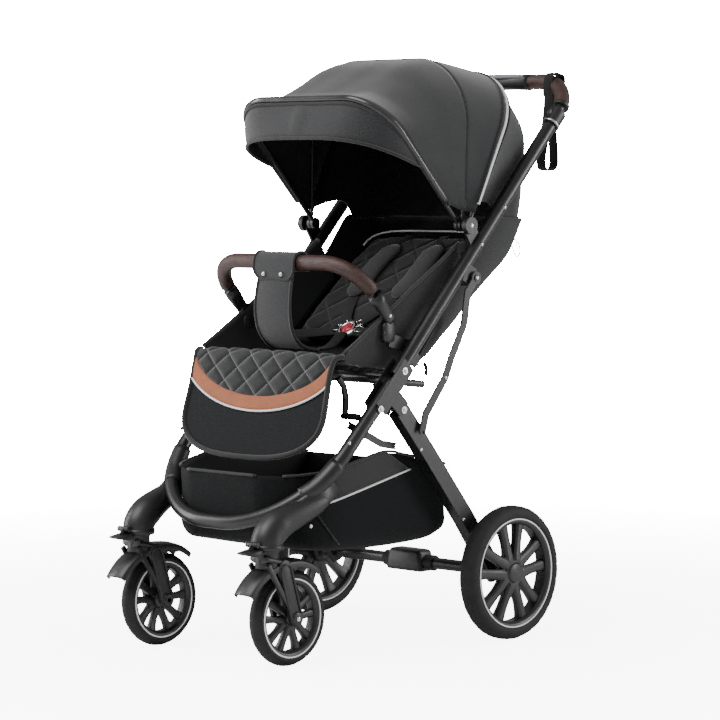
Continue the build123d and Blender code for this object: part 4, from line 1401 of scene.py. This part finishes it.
def cushion_form(name, place, half, start, end, low, high, corner, pinch, columns=40, lines=40):
    """A closed rounded pad on a leaning plane: its sides pull in between the corners."""
    rows = []
    for j in range(lines + 1):
        v = -1 + 2 * j / lines
        row = []
        for i in range(columns + 1):
            u = -1 + 2 * i / columns
            edge = max(abs(u), abs(v))
            bend = (1 - pinch * (1 - u * u) * abs(v) ** 3 * 0.06
                    - pinch * (1 - v * v) * abs(u) ** 3 * 0.03)
            round_off = 1 - (u * u * v * v) ** 2 * corner
            x = half * u * bend * round_off
            along = (start + end) / 2 + (end - start) / 2 * v * bend * round_off
            row.append((x, along, edge))
        rows.append(row)
    points, faces = [], []
    count = columns + 1
    for face in (1, -1):
        for row in rows:
            for x, along, edge in row:
                dome = (1 - edge ** 8) ** 0.5
                off = (low + high) / 2 + face * (high - low) / 2 * (0.25 + 0.75 * dome)
                points.append(place(x, along, off))
    layer = count * (lines + 1)
    for j in range(lines):
        for i in range(columns):
            a = j * count + i
            faces.append((a, a + 1, a + count + 1, a + count))
            faces.append((layer + a, layer + a + count, layer + a + count + 1, layer + a + 1))
    rim_path = list(range(count))
    rim_path += [j * count + columns for j in range(1, lines + 1)]
    rim_path += [lines * count + i for i in range(columns - 1, -1, -1)]
    rim_path += [j * count for j in range(lines - 1, 0, -1)]
    for a, b in zip(rim_path, rim_path[1:] + rim_path[:1]):
        faces.append((a, layer + a, layer + b, b))
    piece = make_piece(name, points, faces)
    outward(piece)
    return piece


def swell(piece, pressure, most, voxel=5.0):
    """Inflate a pad a little under cloth pressure and keep the result."""
    piece.data.remesh_voxel_size = voxel * MM
    bpy.ops.object.select_all(action="DESELECT")
    piece.select_set(True)
    bpy.context.view_layer.objects.active = piece
    bpy.ops.object.voxel_remesh()
    before = [vertex.co.copy() for vertex in piece.data.vertices]
    cloth = piece.modifiers.new("swell", "CLOTH")
    cloth.settings.use_pressure = True
    cloth.settings.uniform_pressure_force = pressure
    cloth.settings.effector_weights.gravity = 0
    cloth.settings.quality = 5
    for step in range(1, 21):
        scene.frame_set(step)
    settle(piece)
    scene.frame_set(1)
    for vertex, start in zip(piece.data.vertices, before):
        moved = vertex.co - start
        if moved.length > most * MM:
            vertex.co = start + moved.normalized() * (most * MM)
    for face in piece.data.polygons:
        face.use_smooth = True
    return piece


def quilt(piece, place, pitch, depth, tall=1.0, shift=0.0):
    """Lay UVs in the pad's own plane, sink its seams and subdivide it once."""
    grow = piece.modifiers.new("grow", "SUBSURF")
    grow.levels = 1
    settle(piece)
    origin = place(0, 0, 0) * MM
    along = (place(0, 1, 0) - place(0, 0, 0)).normalized()
    off = (place(0, 0, 1) - place(0, 0, 0)).normalized()
    marks = []
    for vertex in piece.data.vertices:
        flat = vertex.co - origin
        u, v = flat.x, flat.dot(along) + shift
        marks.append((u, v))
        a, b = (u + v / tall) / pitch, (u - v / tall) / pitch
        near = max(abs(a % 1 - 0.5), abs(b % 1 - 0.5)) * 2
        facing = max(0.0, vertex.normal.dot(off))
        vertex.co -= off * (depth * MM * near ** 6 * facing)
    layer = piece.data.uv_layers.get("cloth") or piece.data.uv_layers.new(name="cloth")
    for loop_at, loop in enumerate(piece.data.loops):
        layer.data[loop_at].uv = marks[loop.vertex_index]
    return piece


QUILT = 0.07
quilt_black = quilted("quilted_black", colour(0.003), colour(0.008), colour(0.03), QUILT)
seat_pad = cushion_form("seat_cushion", on_seat, 163, 10, 190, 2, 15, 0.16, 1.0)
swell(seat_pad, 3.0, 5)
quilt(seat_pad, on_seat, QUILT, 2.0)
dress(seat_pad, quilt_black, "frame", ("seat_pad",))

back_pad = cushion_form("back_cushion", on_back, 163, 26, 343, 2, 24, 0.14, 1.0, 40, 60)
swell(back_pad, 4.0, 7)
quilt(back_pad, on_back, QUILT, 2.2)
dress(back_pad, quilt_black, "backrest", ("back_pad",))
top_edge = []
for i in range(41):
    a = math.pi * i / 40
    c, s = math.cos(a), math.sin(a)
    top_edge.append(on_back(158 * math.copysign(abs(c) ** 0.5, c), 300 + 42 * abs(s) ** 0.6,
                            20 + 3 * s))
edge_tube("back_pad_piping", evenly(top_edge, 50), 1.9, reflective, "backrest")
for name in ("seat_board", "backrest_board"):
    finish_node(name, black_plastic)


# ================================================================ harness
# Five-point harness: grey shoulder pads on black webbing, a crotch strap and a round buckle
# with a bright ring, prongs and a red button.
strap_black = woven("harness_webbing", colour(0.004), colour(0.012), 1.2, 2.4, 0.1)
pad_grey = woven("shoulder_pad_cloth", colour(0.009), colour(0.026), 0.9, 3.0, 0.35)
for side, sign in SIDES:
    line = smooth_line([on_back(sign * 46, 322, 27), on_back(sign * 56, 270, 31),
                        on_back(sign * 62, 205, 32), on_back(sign * 52, 130, 32),
                        on_back(sign * 26, 72, 36), on_back(sign * 9, 56, 38)], 6)
    strap = sweep("shoulder_strap_" + side, line, ribbon(24, 2),
                  up=tuple(on_back(0, 0, 1) - on_back(0, 0, 0)))
    dress(strap, strap_black, "backrest")
    waist = smooth_line([on_back(sign * 152, 36, 24), on_back(sign * 110, 34, 29),
                         on_back(sign * 60, 38, 32), on_back(sign * 18, 42, 35)], 6)
    belt = sweep("waist_strap_" + side, waist, ribbon(24, 2),
                 up=tuple(on_back(0, 0, 1) - on_back(0, 0, 0)))
    dress(belt, strap_black, "backrest")
    pad_line = smooth_line([on_back(sign * 52, 288, 33), on_back(sign * 59, 240, 36),
                            on_back(sign * 61, 190, 36), on_back(sign * 54, 136, 36)], 6)
    count = len(pad_line)
    pad = sweep("shoulder_pad_" + side, pad_line, [(a * 26, b * 6) for a, b in ellipse(1, 1, 20)],
                up=tuple(on_back(0, 0, 1) - on_back(0, 0, 0)),
                sizes=[min(1, 0.35 + 2.2 * math.sin(math.pi * i / (count - 1)))
                       for i in range(count)])
    dress(pad, pad_grey, "backrest")
    if side == "left":
        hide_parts("shoulder_straps")

chrome, tree, surface = shader("bright_chrome", colour(0.75), 0.1, Metallic=1.0)
place = coordinates(tree, "Object")
tree.links.new(
    ramp(tree, noise(tree, place, 500.0), 0.3, colour(0.06), 0.7, colour(0.2)),
    surface.inputs["Roughness"],
)
button_red = moulded("button_red", (0.5, 0.03, 0.05, 1), 0.22, 0.00002)
BUCKLE = 44


def about_buckle(angle, reach, off):
    turn = math.radians(angle)
    return on_back(reach * math.cos(turn), BUCKLE + reach * math.sin(turn), off)


def disc(name, section, steps=48):
    """A closed disc on the back pad about the buckle's middle, from (radius, height) points."""
    rows = [[about_buckle(360 * i / steps, r, off) for r, off in section] for i in range(steps)]
    count = len(section)
    faces = [
        (i * count + k, (i + 1) % steps * count + k, (i + 1) % steps * count + k + 1, i * count + k + 1)
        for i in range(steps) for k in range(count - 1)
    ]
    piece = make_piece(name, [p for row in rows for p in row], faces)
    work = bmesh.new()
    work.from_mesh(piece.data)
    bmesh.ops.remove_doubles(work, verts=work.verts, dist=1e-6)
    bmesh.ops.dissolve_degenerate(work, edges=work.edges, dist=1e-6)
    bmesh.ops.recalc_face_normals(work, faces=work.faces)
    work.to_mesh(piece.data)
    work.free()
    return piece


body_parts = [disc("hub", [(0, 27), (22, 27), (25, 29), (25, 35), (22, 38), (15, 38.4), (15, 33),
                           (0, 33)])]
CLIP_ANGLES = (38, 142, 180, 0, -90)
for angle in CLIP_ANGLES:
    body_parts.append(sweep(
        "clip",
        [about_buckle(angle, 18, 33), about_buckle(angle, 30, 33), about_buckle(angle, 40, 31)],
        ribbon(17, 7), up=tuple(on_back(0, 0, 1) - on_back(0, 0, 0)), sizes=[1.1, 1, 0.75],
    ))
buckle = rounder(joined("harness_buckle", body_parts), 0.8, 2)
dress(buckle, black_plastic, "backrest", ("buckle",))
trim = [disc("ring", [(13, 37), (13, 39.6), (15, 40.6), (19.5, 39.8), (21.5, 38), (21.5, 37),
                      (13, 37)])]
for angle in CLIP_ANGLES:
    for twin in (-1, 1):
        trim.append(sweep(
            "prong",
            [about_buckle(angle + twin * 17, 20, 38.6), about_buckle(angle + twin * 15, 29, 38),
             about_buckle(angle + twin * 9, 38, 35)],
            ellipse(1.1, 1.1, 8),
        ))
dress(joined("buckle_bright_trim", trim), chrome, "backrest")
button = disc("release_button", [(0, 34), (12, 34), (12.4, 36), (11.6, 39.4), (8.5, 41.2), (0, 42)])
dress(button, button_red, "buckle_button", ("buckle_button",))

crotch_line = smooth_line([(0, -152, 536), (0, -120, 539), (0, -80, 541), (0, -48, 545),
                           (0, -26, 558), (0, -14, 570)], 6)
crotch = sweep("crotch_webbing", crotch_line, ribbon(28, 2.4), up=(0, -0.2, 1))
dress(crotch, strap_black, "frame", ("crotch_strap",))
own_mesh(crotch)


# ================================================================ bumper panel
# A heather fabric sleeve snapped round the middle of the bumper bar and a curved padded panel
# from it down to the seat's front edge, both with a dark binding round their edges.
def bound_edge(name, rows, radius, body=None, sides="lrtb"):
    """A binding round the chosen sides of a grid of points."""
    loop = []
    if "t" in sides:
        loop += list(rows[0])
    if "r" in sides:
        loop += [row[-1] for row in rows[1:]]
    if "b" in sides:
        loop += list(reversed(rows[-1][:-1]))
    if "l" in sides:
        loop += [row[0] for row in reversed(rows[1:-1])]
    return dress(
        sweep(name, loop, ellipse(radius, radius, 8), closed=sides == "lrtb"),
        binding, body,
    )


sleeve_line = evenly(smooth_line(
    [(0, -156, 690), (0, -153.5, 704), (0, -158, 717), (0, -169, 723.5), (0, -182, 722),
     (0, -190.5, 713), (0, -193, 700), (0, -193, 686), (0, -191, 674)], 5), 37)
sleeve_rows = []
for j, p in enumerate(sleeve_line):
    t = j / 36
    drop = max(0.0, (t - 0.8) / 0.2)
    half = 51 - 15 * drop ** 2.6
    row = []
    for k in range(25):
        x = half * (-1 + k / 12)
        row.append(Vector((x, p.y + 1.2 * (x / 50) ** 2, p.z)))
    sleeve_rows.append(row)
sleeve = cloth_sheet("bumper_sleeve", sleeve_rows, (0, -173, 704), heather, lining, 3)
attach(sleeve, "bumper_bar")
bound_edge("bumper_sleeve_binding", sleeve_rows, 2.6, "bumper_bar")
for x in (-24, 21):
    snap = sweep(
        "bumper_snap_" + ("a" if x < 0 else "b"),
        [(x, -193, 683), (x, -194.6, 683), (x, -196.4, 683), (x, -197, 683)],
        ellipse(1, 1, 20), sizes=[4.6, 4.6, 3.2, 0.6],
    )
    dress(snap, bright_steel, "bumper_bar")

panel_line = evenly(
    smooth_line([(0, -188, 692), (0, -193, 668), (0, -197, 640), (0, -197, 610), (0, -190, 582),
                 (0, -174, 560), (0, -152, 547), (0, -130, 543)], 6), 41)
drop_rows = []
for j, p in enumerate(panel_line):
    t = j / 40
    half = 41 + 3.5 * math.sin(math.pi * min(1, t * 1.2)) + 12 * max(0.0, (t - 0.72) / 0.28) ** 1.6
    row = []
    for k in range(21):
        s = -1 + k / 10
        row.append(Vector((half * s, p.y + 5 * s * s * (1 - t), p.z)))
    drop_rows.append(row)
panel = cloth_sheet("bumper_panel_pad", drop_rows, (0, -100, 620), heather, lining, 5)
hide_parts("bumper_panel")
panel_edge = bound_edge("bumper_panel_binding", drop_rows, 3.0, None, "lrb")
for part in (panel, panel_edge):
    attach(part, "frame")
    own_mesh(part)


# ================================================================ footrest
# A stiffened pad hinged on the seat's front tube: quilted cloth over foam above, a tan leather
# U band with white piping, a black knitted mesh below, and a dark binding all round.
FOOT_LINE = evenly(smooth_line(
    [(0, -196, 541), (0, -207, 542), (0, -217, 537), (0, -223, 524), (0, -228, 506),
     (0, -236, 472), (0, -248, 430), (0, -261, 392), (0, -276, 356)], 8), 61)
FOOT_LENGTH = sum((b - a).length for a, b in zip(FOOT_LINE, FOOT_LINE[1:]))


def down_foot(distance):
    """The pad's centre line and its outward direction at a distance from its upper edge."""
    at = max(0.0, min(0.99999, distance / FOOT_LENGTH)) * 60
    i = int(at)
    p = FOOT_LINE[i].lerp(FOOT_LINE[i + 1], at - i)
    low, high = max(i - 1, 0), min(i + 2, 60)
    run = (FOOT_LINE[high] - FOOT_LINE[low]).normalized()
    return p, Vector((0, run.z, -run.y))


def on_foot(x, distance, off=0.0):
    p, out = down_foot(distance)
    rise = -1.5 * (x / 170) ** 2
    return Vector((x, p.y, p.z)) + out * (off + rise)


def foot_half(distance):
    """The pad's half width at a distance from its upper edge."""
    return eased(((0, 186), (30, 178), (70, 176), (110, 178), (150, 180), (FOOT_LENGTH, 180)),
                 distance)[0]


FOOT_CORNER = 118               # where the rounded lower corners start
foot_rows, foot_columns, foot_lines = [], 56, 44
for j in range(foot_lines + 1):
    row = []
    for k in range(foot_columns + 1):
        u = math.sin(math.pi / 2 * (-1 + 2 * k / foot_columns))
        end = FOOT_CORNER + (FOOT_LENGTH - FOOT_CORNER) * (1 - abs(u) ** 2.7) ** (1 / 2.7)
        distance = end * j / foot_lines
        row.append(on_foot(foot_half(distance) * u, distance))
    foot_rows.append(row)

knit_mesh, tree, surface = shader(
    "black_knit_mesh", (0.003, 0.0034, 0.0042, 1), 0.8, Sheen_Weight=0.06, Specular_IOR_Level=0.14
)
place = coordinates(tree, "UV")
mapped = add_node(tree, "ShaderNodeMapping", {"Vector": place, "Scale": (420, 300, 1)})
cells = add_node(
    tree, "ShaderNodeTexVoronoi", {"Vector": mapped.outputs[0], "Scale": 1.0, "Randomness": 0.25},
    voronoi_dimensions="2D",
).outputs[0]
tree.links.new(
    ramp(tree, cells, 0.15, (0.0015, 0.0017, 0.002, 1), 0.55, (0.010, 0.011, 0.0135, 1)),
    surface.inputs["Base Color"],
)
bump(tree, surface, cells, 0.0006)

foot_base = cloth_sheet("footrest_mesh_pad", foot_rows, (0, 0, 450), knit_mesh, lining, 9)
rounder(foot_base, 2, 2)
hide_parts("footrest")

U_HALF, U_TOP, U_DEPTH, BAND = 178, 14, 99, 27
PAD_HALF = 177


def in_band(share, grow, off):
    """A point on the U-shaped curve grown by a distance; share runs from side to side."""
    start = math.acos(min(1, PAD_HALF / (U_HALF + grow)))
    turn = start + (math.pi - 2 * start) * share
    return on_foot((U_HALF + grow) * math.cos(turn),
                   U_TOP + (U_DEPTH - U_TOP + grow) * math.sin(turn), off)


FOOT_QUILT, FOOT_QUILT_TALL = 58, 0.85
quilt_grey = quilted("quilted_heather", (0.005, 0.0052, 0.0058, 1), (0.024, 0.0245, 0.026, 1),
                     colour(0.16), FOOT_QUILT * MM, FOOT_QUILT_TALL)
quilt_rows = []
for j in range(61):
    row = []
    for k in range(97):
        u = math.sin(math.pi / 2 * (-1 + k / 48) * 0.97) / math.sin(math.pi / 2 * 0.97)
        low = U_TOP + (U_DEPTH + 2 - U_TOP) * (1 - abs(u) ** 2) ** 0.5
        distance = low * j / 60
        x = min(U_HALF, foot_half(distance)) * u * 0.995
        tall = distance / FOOT_QUILT_TALL
        a, b = (x + tall) / FOOT_QUILT, (x - tall) / FOOT_QUILT
        near = max(abs(a % 1 - 0.5), abs(b % 1 - 0.5)) * 2
        edge = min(1, 6 * (1 - abs(u)) + 0.2, (low - distance) / 8 + 0.2)
        row.append((x, distance, 0.6 + 4.2 * (1 - near ** 4) * edge))
    quilt_rows.append(row)
quilt_top = surface_of("footrest_quilt", [[on_foot(*p) for p in row] for row in quilt_rows])
flat_marks = [(x * MM, d * MM) for row in quilt_rows for x, d, off in row]
face_away(quilt_top, (0, 0, 450))
layer = quilt_top.data.uv_layers["cloth"]
for at, corner in enumerate(quilt_top.data.loops):
    layer.data[at].uv = flat_marks[corner.vertex_index]
wall = quilt_top.modifiers.new("wall", "SOLIDIFY")
wall.thickness = 2 * MM
wall.offset = -1
settle(quilt_top)
dress(quilt_top, quilt_grey)

tan_leather = hide("tan_leather", (0.33, 0.092, 0.026, 1), (0.25, 0.066, 0.018, 1), 260.0, 0.6)
band_rows = []
for grow, off in ((-1, 0.8), (1.5, 2.6), (6, 3.2), (BAND / 2, 3.4), (BAND - 6, 3.2),
                  (BAND - 1.5, 2.6), (BAND, 0.8)):
    band_rows.append([in_band(k / 96, grow, off) for k in range(97)])
band = surface_of("footrest_leather_band", band_rows)
face_away(band, (0, 0, 450))
wall = band.modifiers.new("wall", "SOLIDIFY")
wall.thickness = 1.2 * MM
wall.offset = -1
settle(band)
dress(band, tan_leather)
band_piping = sweep("footrest_white_piping", [in_band(k / 96, BAND + 1.2, 2.4) for k in range(97)],
                    ellipse(2.1, 2.1, 8))
dress(band_piping, reflective)
foot_edge = bound_edge("footrest_binding", foot_rows, 5.0, None, "lrb")
for part in (foot_base, quilt_top, band, band_piping, foot_edge):
    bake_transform(part)


# ================================================================ shopping basket
# A sagging basket of black knitted mesh hung from the front loop and the legs: a heather band
# with white piping along each upper edge and a plain pouch front.
BASKET_STATIONS = (
    # y, half width, floor z, rim z, corner radius
    (-322, 88, 232, 331, 30), (-306, 122, 212, 330, 34), (-284, 150, 203, 331, 34),
    (-256, 168, 197, 333, 34), (-225, 179, 193, 339, 34), (-170, 183, 190, 350, 36),
    (-110, 184, 188, 362, 38), (-50, 184, 188, 357, 38), (10, 183, 190, 342, 36),
    (50, 181, 194, 334, 32), (76, 178, 204, 330, 26),
)
basket_knit, tree, surface = shader("basket_net", (0.003, 0.0032, 0.0038, 1), 0.8,
                                    Sheen_Weight=0.04, Specular_IOR_Level=0.14)
place = coordinates(tree, "UV")
mapped = add_node(tree, "ShaderNodeMapping", {"Vector": place, "Scale": (520, 420, 1)})
cells = add_node(
    tree, "ShaderNodeTexVoronoi", {"Vector": mapped.outputs[0], "Scale": 1.0, "Randomness": 0.15},
    voronoi_dimensions="2D",
).outputs[0]
tree.links.new(
    ramp(tree, cells, 0.2, (0.0015, 0.0016, 0.0019, 1), 0.6, (0.007, 0.0075, 0.0085, 1)),
    surface.inputs["Base Color"],
)
bump(tree, surface, cells, 0.0005)
basket_cloth = woven("basket_band_cloth", colour(0.009), colour(0.024), 0.8, 3.0, 0.3)

basket_rows = []
for i in range(61):
    y = -322 + 398 * i / 60
    half, low, high, corner = eased(BASKET_STATIONS, y)
    sag = 6 * math.sin(math.pi * i / 60)
    row = []
    for k in range(13):
        t = k / 12
        row.append(Vector((half - 3 * math.sin(math.pi * t), y, high + (low + corner - high) * t)))
    for k in range(1, 8):
        turn = math.radians(90 * k / 7)
        row.append(Vector((half - corner * (1 - math.cos(turn)), y,
                           low + corner * (1 - math.sin(turn)))))
    for k in range(1, 9):
        t = k / 8
        row.append(Vector(((half - corner) * (1 - t), y, low - sag * math.sin(math.pi / 2 * t) * 0.6)))
    basket_rows.append(row + [Vector((-p.x, p.y, p.z)) for p in reversed(row[:-1])])
first, last = basket_rows[0], basket_rows[-1]


def closing_wall(row, y, steps, lean):
    """An end wall: rows that shrink from a section towards its upper middle."""
    made = []
    top = max(p.z for p in row)
    for j in range(1, steps + 1):
        t = j / steps
        made.append([Vector((p.x * (1 - 0.96 * t), y + lean * math.sin(math.pi / 2 * t),
                             top + (p.z - top) * (1 - t))) for p in row])
    return made


front_wall = list(reversed(closing_wall(first, -322, 7, -3)))
back_wall = closing_wall(last, 76, 7, 3)
basket = sheet_piece("basket_net_shell", front_wall + basket_rows + back_wall, (0, -120, 300),
                     basket_knit, lining,
                     ("basket",), 2.0)
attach(basket, "frame")


def basket_side(sign, y, z, off):
    half, low, high, corner = eased(BASKET_STATIONS, y)
    t = (high - z) / max(high - low - corner, 1)
    return Vector((sign * (half - 3 * math.sin(math.pi * max(0, min(1, t))) + off), y, z))


BAND_TOP = ((-225, 339), (-158, 353), (-92, 366))
BAND_FOOT = ((-257, 276), (-141, 302), (-26, 328))
for side, sign in SIDES:
    top = evenly(smooth_line([(0, y, z) for y, z in BAND_TOP], 8), 25)
    foot = evenly(smooth_line([(0, y, z) for y, z in BAND_FOOT], 8), 25)
    rows = []
    for a, b in zip(top, foot):
        row = []
        for k in range(9):
            p = a.lerp(b, k / 8)
            row.append(basket_side(sign, p.y, p.z, 2.4))
        rows.append(row)
    strip = sheet_piece("basket_band_" + side, rows, (0, -120, 300), basket_cloth, lining,
                        (), 1.2)
    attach(strip, "frame")
    edge_tube("basket_piping_" + side, [row[-1] + Vector((sign * 1.6, 0, 0)) for row in rows], 1.9,
              reflective, "frame")
    edge_tube("basket_hem_" + side,
              [basket_side(sign, p.y, p.z, 1) for p in evenly(smooth_line(
                  [(0, -300, 331), (0, -225, 339), (0, -158, 353), (0, -92, 365), (0, -30, 354),
                   (0, 76, 331)], 8), 60)],
              2.4, binding, "frame")
    side_seam = [basket_side(sign, y, z, 1.2) for y, z in
                 ((-257, 274), (-244, 252), (-226, 226), (-208, 206))]
    edge_tube("basket_side_seam_" + side, smooth_line(side_seam, 6), 1.3, binding,
              "frame")
edge_tube("basket_front_hem",
          [Vector((x, -324, 331)) for x in range(-88, 89, 8)], 2.6, binding,
          "frame")


# ================================================================ finish
# The hood's front and middle panels have their placement baked into their meshes.
fan_place(91)(0, 300) * MM
fan_place(131)(0, 300) * MM
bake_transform(front_panel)
fan_place(66)(0, 300) * MM
fan_place(87)(0, 300) * MM
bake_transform(middle_panel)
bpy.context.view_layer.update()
